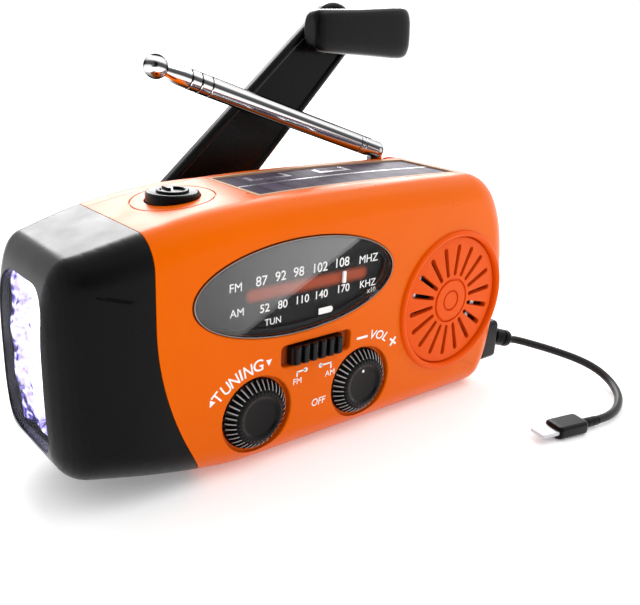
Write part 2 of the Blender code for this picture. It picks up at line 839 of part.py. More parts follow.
knob_pin = lathe(
    [(-9.6, 0), (-9.6, 2.5), (ARM_HALF_T + 0.3, 2.5), (ARM_HALF_T + 0.3, 4.2), (ARM_HALF_T + 1.1, 4.0), (ARM_HALF_T + 1.1, 0)],
    0,
    0,
    "y",
    14,
)
knob_pin.data.transform(Matrix.Translation(Vector((CRANK_R, 0, 0)) * MM))
node(knob_pin, "crank_knob_pin", steel(), parent=crank)


# ---------------------------------------------------------------- gear train


def gear_points(teeth, phase, slack=0.10):
    """Involute gear outline; each tooth is thinned by slack of its pitch for running clearance."""
    pitch_r = MODULE * teeth / 2
    base_r = pitch_r * math.cos(PRESSURE)
    tip_r, root_r = pitch_r + 0.78 * MODULE, pitch_r - 1.2 * MODULE

    def involute(r):
        if r <= base_r:
            return 0.0
        a = math.acos(base_r / r)
        return math.tan(a) - a

    half = math.pi / (2 * teeth) - slack * math.pi / teeth
    start = half + involute(pitch_r)
    points = []
    for k in range(teeth):
        centre = phase + 2 * math.pi * k / teeth
        low = max(base_r, root_r + 0.15)
        left = [(root_r, start + 0.01)] + [(r, start - involute(r)) for r in (low, tip_r)]
        for r, a in left:
            points.append((r, centre - a))
        for r, a in reversed(left):
            points.append((r, centre + a))
    return [(r * math.cos(a), r * math.sin(a)) for r, a in points]


def gear(centre, teeth, phase, low, high, bore=None):
    points = [(centre[0] + u, centre[1] + v) for u, v in gear_points(teeth, phase)]
    return prism(points, low, high)


hub_c = (HUB.x, HUB.z)
spacing = MODULE * (CRANK_TEETH + PINION_TEETH) / 2
idler_c = (hub_c[0] + spacing * math.cos(IDLER_ANGLE), hub_c[1] + spacing * math.sin(IDLER_ANGLE))
gen_c = (idler_c[0] + spacing * math.cos(GEN_ANGLE), idler_c[1] + spacing * math.sin(GEN_ANGLE))
# a tooth of the driver points at the follower, whose gap points back
crank_gear = gear(hub_c, CRANK_TEETH, IDLER_ANGLE, 15.3, 17.9)
cut(crank_gear, cylinder(*hub_c, 3.0, 0, 40, "y", 14))
node(crank_gear, "crank_gear", finish("nylon", WHITE, 0.5), (hub_c[0], 16.6, hub_c[1]))
idler = gear(idler_c, CRANK_TEETH, GEN_ANGLE, 12.0, 14.6)
join(
    idler,
    gear(idler_c, PINION_TEETH, IDLER_ANGLE + math.pi + math.pi / PINION_TEETH, 14.2, 17.7),
)
cut(idler, cylinder(*idler_c, 1.8, 0, 40, "y", 12))
node(idler, "idler_gear", finish("nylon", WHITE, 0.5), (idler_c[0], 13.3, idler_c[1]))
pinion = gear(gen_c, PINION_TEETH, GEN_ANGLE + math.pi + math.pi / PINION_TEETH, 12.0, 14.4)
join(pinion, cylinder(*gen_c, 1.5, 4.0, 12.5, "y", 12))
node(pinion, "generator_pinion", finish("brass", BRASS, 0.3, 1), (gen_c[0], 13.2, gen_c[1]))
gearbox = box(-44, 10, 9.9, 11.3, 20.5, 57)
join(gearbox, cylinder(*idler_c, 1.5, 11.0, 18.0, "y", 12))
cut(gearbox, cylinder(*gen_c, 2.6, 0, 40, "y", 14))
node(gearbox, "gearbox_plate", steel())
generator = cylinder(*gen_c, 11.5, -4.5, 9.5, "y", 24)
cut(generator, cylinder(*gen_c, 1.9, 3.4, 20, "y", 12))
node(generator, "generator_body", steel())

# ---------------------------------------------------------------- plug and cable

socket = box(65.6, 78.6, PLUG_Y - 2.9, PLUG_Y + 2.9, PLUG_Z - 6.4, PLUG_Z + 6.4)
cut(socket, box(66.6, 84.6, PLUG_Y - 2.45, PLUG_Y + 2.45, PLUG_Z - 5.95, PLUG_Z + 5.95))
node(socket, "usb_socket", steel())
plug = rings(
    [
        [(x, u, v) for u, v in round_rect(PLUG_Y - 3.9 + k, PLUG_Y + 3.9 - k, PLUG_Z - 7.1 + k, PLUG_Z + 7.1 - k, 1.4, 2)]
        for x, k in ((80.2, 0.4), (80.8, 0), (87.4, 0), (88.2, 0.7))
    ]
)
join(plug, box(67.6, 81.1, PLUG_Y - 2.1, PLUG_Y + 2.1, PLUG_Z - 5.6, PLUG_Z + 5.6))
node(plug, "usb_plug", black())
boot_dir = Vector((0.909, -0.321, -0.267)).normalized()
boot_axis = frame("boot_axis", (88.4, PLUG_Y, PLUG_Z), boot_dir, Vector((-boot_dir.y, boot_dir.x, 0)))
boot = lathe([(1.3, 0), (1.3, 2.9), (4.8, 2.6), (9.0, 1.9), (9.0, 0)], 0, 0, "x", 14)
node(boot, "plug_boot", black(), parent=boot_axis)

# the cable leaves the boot, drops to the surface, curls round to the front and lies there
ROUTE = (
    (97.3, -19.64, 6.39),
    (99.2, -20.9, 6.1),
    (102.0, -25.2, 5.5),
    (106.5, -31.8, 4.2),
    (111.1, -39.9, 2.4),
    (112.9, -47.1, 0.6),
    (111.0, -54.6, -1.2),
    (104.7, -61.6, -2.1),
    (96.4, -66.1, -2.3),
    (89.0, -67.7, -2.3),
    (82.7, -67.3, -2.3),
)
LEAD_END = Vector((82.7, -67.3, CABLE_END_Z))


def smooth_route(points, spacing):
    """Evenly spaced points of a Catmull-Rom curve through the route."""
    points = [Vector(p) for p in points]
    first, last = points[0] * 2 - points[1], points[-1] * 2 - points[-2]
    chain = [first] + points + [last]
    dense = []
    for i in range(1, len(chain) - 2):
        a, b, c, d = chain[i - 1 : i + 3]
        for k in range(12):
            t = k / 12
            dense.append(
                0.5
                * (
                    2 * b
                    + (c - a) * t
                    + (2 * a - 5 * b + 4 * c - d) * t * t
                    + (3 * b - a - 3 * c + d) * t**3
                )
            )
    dense.append(points[-1])
    total = sum((q - p).length for p, q in zip(dense, dense[1:]))
    count = max(2, round(total / spacing))
    result, walked, target = [dense[0]], 0.0, total / count
    for p, q in zip(dense, dense[1:]):
        step = (q - p).length
        while walked + step >= target - 1e-9 and len(result) < count:
            result.append(p.lerp(q, (target - walked) / step))
            target += total / count
        walked += step
    result.append(dense[-1])
    return result


cable_points = smooth_route(ROUTE, 3.6)
curve = bpy.data.curves.new("usb_cable", "CURVE")
curve.dimensions = "3D"
curve.bevel_depth = CABLE_R * MM
curve.bevel_resolution = 2
curve.use_fill_caps = True
line = curve.splines.new("POLY")
line.points.add(len(cable_points) - 1)
for slot, p in zip(line.points, cable_points):
    slot.co = (*(p * MM), 1)
cable = bpy.data.objects.new("usb_cable", curve)
scene.objects.link(cable)
cable.data.materials.append(black())

# far connector: its sleeve and its slim metal tip, lying on the surface
lead_dir = Vector((-0.978, 0.21, 0)).normalized()
lead = frame("lead_axis", LEAD_END, lead_dir, Vector((-lead_dir.y, lead_dir.x, 0)))
sleeve = lathe([(0.35, 0), (0.35, 1.6), (7.0, 1.65), (7.0, 0)], 0, 0, "x", 12)
node(sleeve, "lead_boot", black(), parent=lead)
shell = rings(
    [
        [(x, u, v) for u, v in round_rect(-3.9 + k, 3.9 - k, -1.65, 2.6 - k * 0.5, 1.1, 2)]
        for x, k in ((7.3, 0.9), (8.2, 0), (18.6, 0), (19.2, 0.6))
    ]
)
join(shell, box(18.8, 25.6, -3.2, 3.2, -0.3, 1.3))
node(shell, "lead_connector", black(), parent=lead)

# the whole radio, lifted onto its underside and brought to its size
row = bpy.data.objects.new("row_frame", None)
for obj in list(bpy.data.objects):
    if obj is not row and obj.parent is None:
        obj.parent = row
scene.objects.link(row)
row.matrix_world = Matrix.Scale(SIZE, 4) @ Matrix.Translation((0, 0, LIFT * MM))
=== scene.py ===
"""Looks of the emergency radio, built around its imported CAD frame.

Shapes are given in millimetres in the row frame and written in metres:
+X towards the speaker and socket end, -X towards the torch nose, +Y to the rear, +Z up.
"""

import math

import bmesh
import bpy
from mathutils import Matrix, Vector


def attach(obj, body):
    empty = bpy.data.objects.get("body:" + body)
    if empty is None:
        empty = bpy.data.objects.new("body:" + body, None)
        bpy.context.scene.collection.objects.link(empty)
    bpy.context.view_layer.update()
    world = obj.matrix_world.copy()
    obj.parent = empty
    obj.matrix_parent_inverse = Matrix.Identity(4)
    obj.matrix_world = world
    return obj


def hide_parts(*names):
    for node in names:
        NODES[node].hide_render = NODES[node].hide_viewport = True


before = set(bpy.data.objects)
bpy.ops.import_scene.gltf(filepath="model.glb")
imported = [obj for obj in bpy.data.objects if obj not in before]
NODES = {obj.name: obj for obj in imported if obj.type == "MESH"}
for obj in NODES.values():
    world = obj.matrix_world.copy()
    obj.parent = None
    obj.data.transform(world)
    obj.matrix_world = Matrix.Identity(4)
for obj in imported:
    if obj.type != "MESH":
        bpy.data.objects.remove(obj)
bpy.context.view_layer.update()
MM = 0.001
# the shapes are drawn with the underside at -LIFT, then brought to the row frame's size and height
SIZE = 0.97
LIFT = 4.0
ROW = Matrix.Scale(SIZE, 4) @ Matrix.Translation((0, 0, LIFT * MM))
scene = bpy.context.scene

# ---------------------------------------------------------------- camera, world, lights, floor

camera_data = bpy.data.cameras.new("camera")
camera_data.sensor_width = 36
camera_data.lens = 45.773
camera_data.clip_start = 0.01
camera_data.clip_end = 300
camera = bpy.data.objects.new("camera", camera_data)
scene.collection.objects.link(camera)
RIGHT = Vector((0.77073621, -0.63551326, 0.04570115))
UP = Vector((0.18180451, 0.28809911, 0.94018404))
AHEAD = Vector((0.61066588, 0.7163252, -0.33758759))
EYE = Vector((-142.2518, -189.1255, 119.3402))
turn = Matrix((RIGHT, UP, -AHEAD)).transposed().to_4x4()
camera.matrix_world = Matrix.Translation(ROW @ (EYE * MM)) @ turn
scene.camera = camera
scene.view_settings.view_transform = "Standard"
scene.view_settings.look = "None"


def build_world():
    world = bpy.data.worlds.new("studio")
    scene.world = world
    world.use_nodes = True
    tree = world.node_tree
    background = tree.nodes["Background"]
    coord = tree.nodes.new("ShaderNodeTexCoord")
    # pale all round, brighter overhead, with a darker side of the room behind the camera
    split = tree.nodes.new("ShaderNodeSeparateXYZ")
    tree.links.new(coord.outputs["Generated"], split.inputs[0])
    height = tree.nodes.new("ShaderNodeValToRGB")
    height.color_ramp.elements[0].position = 0.0
    height.color_ramp.elements[0].color = (1, 1, 1, 1)
    height.color_ramp.elements[1].position = 0.8
    height.color_ramp.elements[1].color = (1, 1, 1, 1)
    tree.links.new(split.outputs["Z"], height.inputs[0])
    side = tree.nodes.new("ShaderNodeVectorMath")
    side.operation = "DOT_PRODUCT"
    side.inputs[1].default_value = Vector((-0.56, -0.74, 0.37)).normalized()
    tree.links.new(coord.outputs["Generated"], side.inputs[0])
    dark = tree.nodes.new("ShaderNodeValToRGB")
    dark.color_ramp.elements[0].position = 0.80
    dark.color_ramp.elements[0].color = (1, 1, 1, 1)
    dark.color_ramp.elements[1].position = 0.93
    dark.color_ramp.elements[1].color = (0.03, 0.03, 0.03, 1)
    tree.links.new(side.outputs["Value"], dark.inputs[0])
    mixed = tree.nodes.new("ShaderNodeMix")
    mixed.data_type = "RGBA"
    mixed.blend_type = "MULTIPLY"
    mixed.inputs["Factor"].default_value = 1
    tree.links.new(height.outputs[0], mixed.inputs["A"])
    tree.links.new(dark.outputs[0], mixed.inputs["B"])
    tree.links.new(mixed.outputs["Result"], background.inputs["Color"])
    background.inputs["Strength"].default_value = 1.12


build_world()


def softbox(name, towards, distance, size, radiance):
    """A square studio light in the direction towards, aimed at the middle of the object."""
    data = bpy.data.lights.new(name, "AREA")
    data.shape = "RECTANGLE"
    data.size, data.size_y = size
    data.energy = radiance * math.pi * size[0] * size[1]
    light = bpy.data.objects.new(name, data)
    scene.collection.objects.link(light)
    aim = Vector((0, 0, 0.05))
    place = aim + Vector(towards).normalized() * distance
    light.location = place
    light.rotation_mode = "QUATERNION"
    light.rotation_quaternion = (place - aim).to_track_quat("Z", "Y")
    return light


softbox("softbox_back", (0.42, 0.72, 0.48), 1.3, (1.2, 0.7), 6.5)
softbox("softbox_top", (0.45, -0.25, 0.85), 1.3, (0.9, 0.7), 1.6)
softbox("softbox_front", (-0.75, -0.55, 0.55), 1.6, (0.7, 0.7), 0.9)


# ---------------------------------------------------------------- materials


def nodes_of(material):
    return material.node_tree, material.node_tree.nodes["Principled BSDF"]


def noise(tree, scale, detail=3.0, stretch=None):
    """Object-space noise, scale in cells per metre."""
    coord = tree.nodes.new("ShaderNodeTexCoord")
    texture = tree.nodes.new("ShaderNodeTexNoise")
    texture.inputs["Scale"].default_value = scale
    texture.inputs["Detail"].default_value = detail
    source = coord.outputs["Object"]
    if stretch:
        mapping = tree.nodes.new("ShaderNodeMapping")
        mapping.inputs["Scale"].default_value = stretch
        tree.links.new(source, mapping.inputs["Vector"])
        source = mapping.outputs["Vector"]
    tree.links.new(source, texture.inputs["Vector"])
    return texture.outputs["Fac"]


def ramp(tree, value, stops, smooth=False):
    node = tree.nodes.new("ShaderNodeValToRGB")
    if smooth:
        node.color_ramp.interpolation = "EASE"
    elements = node.color_ramp.elements
    while len(elements) < len(stops):
        elements.new(0.5)
    for element, (position, colour) in zip(elements, stops):
        element.position = position
        element.color = (*colour[:3], 1)
    tree.links.new(value, node.inputs[0])
    return node.outputs["Color"]


def remap(tree, value, low, high, start=0.3, end=0.7):
    node = tree.nodes.new("ShaderNodeMapRange")
    node.inputs["From Min"].default_value = start
    node.inputs["From Max"].default_value = end
    node.inputs["To Min"].default_value = low
    node.inputs["To Max"].default_value = high
    tree.links.new(value, node.inputs["Value"])
    return node.outputs["Result"]


def bump(tree, height, distance, strength=1.0):
    node = tree.nodes.new("ShaderNodeBump")
    node.inputs["Distance"].default_value = distance
    node.inputs["Strength"].default_value = strength
    tree.links.new(height, node.inputs["Height"])
    return node.outputs["Normal"]


def tinted(colour, factor):
    return tuple(min(c * factor, 1.0) for c in colour)


def along(tree, direction):
    """How far a point lies along a direction, in metres of the drawing's own frame."""
    coord = tree.nodes.new("ShaderNodeTexCoord")
    dot = tree.nodes.new("ShaderNodeVectorMath")
    dot.operation = "DOT_PRODUCT"
    dot.inputs[1].default_value = direction
    tree.links.new(coord.outputs["Object"], dot.inputs[0])
    drawn = maths(tree, "DIVIDE", dot.outputs["Value"], SIZE)
    return maths(tree, "SUBTRACT", drawn, direction[2] * LIFT * MM)


def maths(tree, operation, a, b=None):
    node = tree.nodes.new("ShaderNodeMath")
    node.operation = operation
    for socket, value in zip(node.inputs, (a, b)):
        if value is None:
            continue
        if isinstance(value, (int, float)):
            socket.default_value = value
        else:
            tree.links.new(value, socket)
    return node.outputs["Value"]


def mix(tree, factor, a, b, blend="MIX"):
    node = tree.nodes.new("ShaderNodeMix")
    node.data_type = "RGBA"
    node.blend_type = blend
    if isinstance(factor, (int, float)):
        node.inputs["Factor"].default_value = factor
    else:
        tree.links.new(factor, node.inputs["Factor"])
    for key, value in (("A", a), ("B", b)):
        if isinstance(value, tuple):
            node.inputs[key].default_value = (*value[:3], 1)
        else:
            tree.links.new(value, node.inputs[key])
    return node.outputs["Result"]


def moulded(name, colour, rough, specular=0.3, vary=0.05, grain=0.000012, cells=1700.0, coat=0.0, tint=None):
    """Moulded plastic: slow colour drift, uneven gloss and a fine moulded grain."""
    material = bpy.data.materials.new(name)
    material.use_nodes = True
    tree, shader = nodes_of(material)
    cloud = noise(tree, 26, 4)
    tree.links.new(
        ramp(tree, cloud, ((0.32, tinted(colour, 1 - vary)), (0.68, tinted(colour, 1 + vary)))),
        shader.inputs["Base Color"],
    )
    patches = noise(tree, 140, 4)
    tree.links.new(remap(tree, patches, rough - 0.03, rough + 0.05), shader.inputs["Roughness"])
    tree.links.new(bump(tree, noise(tree, cells, 2), grain, 0.6), shader.inputs["Normal"])
    shader.inputs["Specular IOR Level"].default_value = specular
    if tint:
        shader.inputs["Specular Tint"].default_value = (*tint, 1)
    if coat:
        shader.inputs["Coat Weight"].default_value = coat
        shader.inputs["Coat Roughness"].default_value = 0.12
    return material


def metal(name, colour, rough, brushed=None, vary=0.04):
    material = bpy.data.materials.new(name)
    material.use_nodes = True
    tree, shader = nodes_of(material)
    cloud = noise(tree, 60, 3)
    tree.links.new(
        ramp(tree, cloud, ((0.3, tinted(colour, 1 - vary)), (0.7, tinted(colour, 1 + vary)))),
        shader.inputs["Base Color"],
    )
    scratches = noise(tree, 900, 3, brushed)
    tree.links.new(remap(tree, scratches, max(rough - 0.02, 0.02), rough + 0.04), shader.inputs["Roughness"])
    tree.links.new(bump(tree, scratches, 0.000004, 0.5), shader.inputs["Normal"])
    shader.inputs["Metallic"].default_value = 1.0
    return material


ORANGE = moulded("case_orange", (0.78, 0.122, 0.0008), 0.3, 0.42, 0.03, tint=(0.35, 0.1, 0.0))
GRILLE = moulded("grille_orange", (0.78, 0.09, 0.0025), 0.4, 0.3, 0.03, tint=(0.35, 0.09, 0.02))
# darker copy of the case orange: painted shade for the band slot's floor
SLOT = moulded("slot_orange_painted_shade", (0.32, 0.05, 0.002), 0.5, 0.2, 0.08)
BLACK = moulded("black_plastic", (0.0028, 0.0028, 0.003), 0.26, 0.5, 0.15, 0.000008, tint=(0.12, 0.12, 0.12))
SATIN = moulded("satin_black_plastic", (0.003, 0.003, 0.0032), 0.3, 0.5, 0.12, 0.00001, tint=(0.14, 0.14, 0.14))
GLOSS = moulded("gloss_black", (0.0026, 0.0026, 0.003), 0.2, 0.5, 0.15, 0.000004, tint=(0.3, 0.3, 0.3))
KNOB_BLACK = moulded("knob_black", (0.0022, 0.0022, 0.0025), 0.2, 0.4, 0.15, 0.000003, tint=(0.3, 0.3, 0.3))
# pale colour for the knob ridge tops: a painted highlight
RIB_PAINTED_HIGHLIGHT = moulded("knob_rib_painted_highlight", (0.3, 0.3, 0.3), 0.15, 0.8, 0.1, 0.000002)
RUBBER = moulded("cable_rubber", (0.007, 0.007, 0.0074), 0.38, 0.25, 0.12, 0.000015)
WHITE_INK = moulded("dial_print", (0.93, 0.93, 0.92), 0.5, 0.2, 0.02, 0.000002)
POINTER = moulded("pointer_white", (0.95, 0.95, 0.93), 0.4, 0.3, 0.02)
NYLON = moulded("nylon", (0.78, 0.77, 0.71), 0.45, 0.4)
STEEL_BRIGHT = metal("antenna_pin_metal", (0.9, 0.9, 0.92), 0.05)


def antenna_chrome():
    """Polished plating with painted reflections: dark and bright stripes run along the telescope, set by height across
    the tube square to the view direction.
    """
    material = bpy.data.materials.new("antenna_chrome")
    material.use_nodes = True
    tree, shader = nodes_of(material)
    tube = Vector((-math.cos(math.radians(18.4)), 0, math.sin(math.radians(18.4))))
    side = tube.cross(AHEAD).normalized()
    if side.z < 0:
        side = -side
    rise = maths(tree, "SUBTRACT", along(tree, side), side.dot(Vector((55.6, 17.5, 74.6))) * MM)
    share = maths(tree, "ADD", maths(tree, "DIVIDE", rise, 6.2 * MM), 0.5)
    # painted reflection: these stripes across the tube stand in for the light and dark of the room seen in the plating
    painted_reflection_bands = ramp(
        tree,
        share,
        (
            (0.00, (0.12, 0.12, 0.12)),
            (0.10, (0.35, 0.35, 0.36)),
            (0.18, (0.95, 0.95, 0.95)),
            (0.36, (0.9, 0.9, 0.9)),
            (0.44, (0.05, 0.05, 0.052)),
            (0.58, (0.10, 0.10, 0.104)),
            (0.66, (0.93, 0.93, 0.94)),
            (0.84, (0.9, 0.9, 0.9)),
            (0.90, (0.01, 0.01, 0.01)),
            (1.00, (0.006, 0.006, 0.006)),
        ),
    )
    tree.links.new(painted_reflection_bands, shader.inputs["Base Color"])
    tree.links.new(remap(tree, noise(tree, 600, 3), 0.1, 0.16), shader.inputs["Roughness"])
    shader.inputs["Metallic"].default_value = 1.0
    shader.inputs["Specular Tint"].default_value = (0.05, 0.05, 0.05, 1)
    return material


CHROME = antenna_chrome()
STEEL = metal("steel", (0.55, 0.55, 0.57), 0.3, (1, 1, 14))
RIM = metal("dial_rim", (0.3, 0.29, 0.28), 0.22)
BRASS = metal("brass", (0.72, 0.5, 0.2), 0.25)
CELL_METAL = metal("solar_silver", (0.8, 0.8, 0.82), 0.28)
BEZEL = moulded("bezel_light", (0.55, 0.33, 0.2), 0.45, 0.2, 0.05)
CONE = moulded("cone_paper", (0.02, 0.02, 0.021), 0.85, 0.2, 0.25, 0.00006, 900)
FERRITE = moulded("ferrite", (0.03, 0.03, 0.032), 0.55, 0.4, 0.2, 0.00003, 1200)
WRAP = moulded("battery_wrap", (0.02, 0.09, 0.42), 0.22, 0.5, 0.06)


def board_material():
    material = bpy.data.materials.new("board_green")
    material.use_nodes = True
    tree, shader = nodes_of(material)
    coord = tree.nodes.new("ShaderNodeTexCoord")
    bricks = tree.nodes.new("ShaderNodeTexBrick")
    bricks.inputs["Scale"].default_value = 160
    bricks.inputs["Mortar Size"].default_value = 0.03
    bricks.inputs["Color1"].default_value = (0.01, 0.13, 0.05, 1)
    bricks.inputs["Color2"].default_value = (0.015, 0.17, 0.07, 1)
    bricks.inputs["Mortar"].default_value = (0.05, 0.32, 0.14, 1)
    tree.links.new(coord.outputs["Object"], bricks.inputs["Vector"])
    tree.links.new(bricks.outputs["Color"], shader.inputs["Base Color"])
    tree.links.new(remap(tree, noise(tree, 300), 0.3, 0.5), shader.inputs["Roughness"])
    return material


BOARD = board_material()


def window_with_painted_reflection():
    """Clear glossy window whose upper left carries a painted pale reflection with a straight slanting edge."""
    material = bpy.data.materials.new("smoked_window")
    material.use_nodes = True
    tree, shader = nodes_of(material)
    across = along(tree, (-0.457, 0, 0.889))
    # painted reflection: a pale colour is made slightly opaque above a slanting line, more so along the window, to
    # stand in for a reflection
    painted_reflection = remap(tree, across, 0.0, 1.0, 0.04605, 0.04625)
    length = remap(tree, along(tree, (0.889, 0, 0.457)), 0.05, 0.17, -0.012, 0.044)
    painted_reflection_alpha = maths(tree, "MULTIPLY", painted_reflection, length)
    shade = maths(tree, "ADD", painted_reflection_alpha, 0.006)
    tree.links.new(shade, shader.inputs["Alpha"])
    tree.links.new(
        ramp(tree, noise(tree, 40, 3), ((0.3, (0.86, 0.86, 0.87)), (0.7, (0.92, 0.92, 0.93)))),
        shader.inputs["Base Color"],
    )
    tree.links.new(remap(tree, noise(tree, 200), 0.04, 0.09), shader.inputs["Roughness"])
    shader.inputs["Specular IOR Level"].default_value = 0.03
    return material


WINDOW = window_with_painted_reflection()


def clear_lens():
    material = bpy.data.materials.new("lens_clear")
    material.use_nodes = True
    tree, shader = nodes_of(material)
    tree.links.new(remap(tree, noise(tree, 90), 0.015, 0.04), shader.inputs["Alpha"])
    tree.links.new(
        ramp(tree, noise(tree, 60, 3), ((0.3, (0.8, 0.82, 0.95)), (0.7, (0.95, 0.96, 1)))),
        shader.inputs["Base Color"],
    )
    tree.links.new(remap(tree, noise(tree, 150), 0.03, 0.08), shader.inputs["Roughness"])
    return material


LENS_CLEAR = clear_lens()

LED_Z = (18.8, 33.0, 47.2)


def led_distance(tree):
    """Distance in metres, across the torch, from the nearest of the three lamp axes."""
    y = along(tree, (0, 1, 0))
    z = along(tree, (0, 0, 1))
    nearest = None
    for level in LED_Z:
        dz = maths(tree, "SUBTRACT", z, level * MM)
        apart = maths(
            tree,
            "SQRT",
            maths(tree, "ADD", maths(tree, "MULTIPLY", y, y), maths(tree, "MULTIPLY", dz, dz)),
        )
        nearest = apart if nearest is None else maths(tree, "MINIMUM", nearest, apart)
    return nearest


def reflector_material():
    material = bpy.data.materials.new("reflector_metal")
    material.use_nodes = True
    tree, shader = nodes_of(material)
    cells = noise(tree, 420, 1)
    far = maths(tree, "DIVIDE", maths(tree, "SUBTRACT", along(tree, (0, 1, 0)), 0.0045), 0.003)
    low = maths(tree, "DIVIDE", maths(tree, "SUBTRACT", 0.0165, along(tree, (0, 0, 1))), 0.003)
    edge = maths(tree, "MAXIMUM", far, low)
    share = maths(tree, "ADD", edge, maths(tree, "MULTIPLY", maths(tree, "SUBTRACT", cells, 0.5), 2.2))
    tree.links.new(
        ramp(tree, cells, ((0.35, (0.42, 0.36, 0.9)), (0.6, (0.75, 0.72, 1.0)))),
        shader.inputs["Base Color"],
    )
    # the emission is painted light: the reflector glows white over the bowls and turns to dim violet patches towards +Y
    # and the bottom, standing in for lamp light reflected in it
    painted_glow_facets = ramp(
        tree,
        noise(tree, 700, 0),
        ((0.36, (0.006, 0.004, 0.03)), (0.46, (0.045, 0.03, 0.22)), (0.58, (0.16, 0.13, 0.42)), (0.7, (0.5, 0.5, 0.7))),
    )
    colour = mix(tree, remap(tree, share, 0, 1, 0.0, 1.0), (1.0, 1.0, 1.0), painted_glow_facets)
    tree.links.new(colour, shader.inputs["Emission Color"])
    shader.inputs["Emission Strength"].default_value = 2.0
    shader.inputs["Metallic"].default_value = 1.0
    tree.links.new(remap(tree, noise(tree, 400), 0.08, 0.2), shader.inputs["Roughness"])
    return material


REFLECTOR = reflector_material()


def led_material():
    material = bpy.data.materials.new("led_white")
    material.use_nodes = True
    tree, shader = nodes_of(material)
    tree.links.new(
        ramp(tree, noise(tree, 500, 2), ((0.3, (0.93, 0.95, 1.0)), (0.7, (1, 1, 1)))),
        shader.inputs["Base Color"],
    )
    tree.links.new(
        ramp(tree, led_distance(tree), ((0.0, (1, 1, 1)), (0.006, (0.85, 0.87, 1.0)))),
        shader.inputs["Emission Color"],
    )
    shader.inputs["Emission Strength"].default_value = 3.0
    shader.inputs["Roughness"].default_value = 0.2
    return material


LED = led_material()


def dial_back():
    """Dark printed dial plate with a soft-edged red-brown band behind the pointer."""
    material = bpy.data.materials.new("dial_plate")
    material.use_nodes = True
    tree, shader = nodes_of(material)
    x = along(tree, (1, 0, 0))
    z = along(tree, (0, 0, 1))
    outside = maths(tree, "MAXIMUM", maths(tree, "SUBTRACT", maths(tree, "ABSOLUTE", maths(tree, "SUBTRACT", x, -0.0036)), 0.0198), 0.0)
    rise = maths(tree, "SUBTRACT", z, 0.04685)
    apart = maths(tree, "SQRT", maths(tree, "ADD", maths(tree, "MULTIPLY", outside, outside), maths(tree, "MULTIPLY", rise, rise)))
    apart = maths(tree, "ADD", apart, maths(tree, "MULTIPLY", noise(tree, 700, 2), 0.0002))
    dark = ramp(tree, noise(tree, 30, 3), ((0.3, (0.005, 0.005, 0.0053)), (0.7, (0.0065, 0.0065, 0.007))))
    share = remap(tree, apart, 1, 0, 0.0009, 0.0026)
    colour = mix(tree, share, dark, (0.34, 0.062, 0.022))
    tree.links.new(colour, shader.inputs["Base Color"])
    tree.links.new(remap(tree, noise(tree, 250), 0.45, 0.6), shader.inputs["Roughness"])
    shader.inputs["Specular IOR Level"].default_value = 0.15
    return material


DIAL_BACK = dial_back()


def solar_material():
    """Dark violet cells in strips across the panel, with darker joins and a faint crystal pattern."""
    material = bpy.data.materials.new("solar_cells")
    material.use_nodes = True
    tree, shader = nodes_of(material)
    x = along(tree, (1, 0, 0))
    cell = maths(tree, "FRACT", maths(tree, "DIVIDE", maths(tree, "ADD", x, 0.0159), 0.00713))
    edge = maths(tree, "MINIMUM", cell, maths(tree, "SUBTRACT", 1.0, cell))
    join = remap(tree, edge, 1, 0, 0.02, 0.075)
    wide = maths(tree, "FLOOR", maths(tree, "DIVIDE", maths(tree, "ADD", x, 0.0159), 0.00713))
    tone = maths(tree, "FRACT", maths(tree, "MULTIPLY", maths(tree, "SINE", maths(tree, "MULTIPLY", wide, 12.9898)), 43.7585))
    base = ramp(tree, tone, ((0.0, (0.030, 0.020, 0.040)), (1.0, (0.068, 0.050, 0.078))))
    flecks = ramp(tree, noise(tree, 420, 4, (1, 0.2, 1)), ((0.35, (0.75, 0.75, 0.8)), (0.7, (1.25, 1.2, 1.3))))
    base = mix(tree, 1.0, base, flecks, "MULTIPLY")
    fine = maths(tree, "FRACT", maths(tree, "DIVIDE", along(tree, (0, 1, 0)), 0.00092))
    lines = remap(tree, maths(tree, "MINIMUM", fine, maths(tree, "SUBTRACT", 1.0, fine)), 0.35, 0, 0.03, 0.10)
    base = mix(tree, lines, base, (0.24, 0.22, 0.27))
    base = mix(tree, join, base, (0.012, 0.009, 0.016))
    tree.links.new(base, shader.inputs["Base Color"])
    tree.links.new(remap(tree, noise(tree, 180), 0.42, 0.5), shader.inputs["Roughness"])
    shader.inputs["Specular IOR Level"].default_value = 0.12
    shader.inputs["Specular Tint"].default_value = (0.3, 0.25, 0.35, 1)
    return material


SOLAR = solar_material()


def floor_material():
    material = bpy.data.materials.new("floor_pale")
    material.use_nodes = True
    tree, shader = nodes_of(material)
    tree.links.new(
        ramp(tree, noise(tree, 3, 2), ((0.3, (0.93, 0.93, 0.93)), (0.7, (0.95, 0.95, 0.95)))),
        shader.inputs["Base Color"],
    )
    shader.inputs["Roughness"].default_value = 0.7
    shader.inputs["Specular IOR Level"].default_value = 0.1
    shader.inputs["Emission Color"].default_value = (1, 1, 1, 1)
    shader.inputs["Emission Strength"].default_value = 0.2
    return material


def build_floor():
    bm = bmesh.new()
    corners = [bm.verts.new((x * 60.0, y * 60.0, -0.0003)) for x, y in ((-1, -1), (1, -1), (1, 1), (-1, 1))]
    bm.faces.new(corners)
    mesh = bpy.data.meshes.new("floor")
    bm.to_mesh(mesh)
    bm.free()
    floor = bpy.data.objects.new("floor", mesh)
    scene.collection.objects.link(floor)
    floor.data.materials.append(floor_material())


build_floor()

# ---------------------------------------------------------------- the lead

ROUTE = (
    (97.3, -19.64, 6.39),
    (99.2, -20.9, 6.1),
    (102.0, -25.2, 5.5),
    (106.5, -31.8, 4.2),
    (111.1, -39.9, 2.4),
    (112.9, -47.1, 0.6),
    (111.0, -54.6, -1.2),
    (104.7, -61.6, -2.1),
    (96.4, -66.1, -2.3),
    (89.0, -67.7, -2.3),
    (82.7, -67.3, -2.3),
)
CABLE_R = 1.4


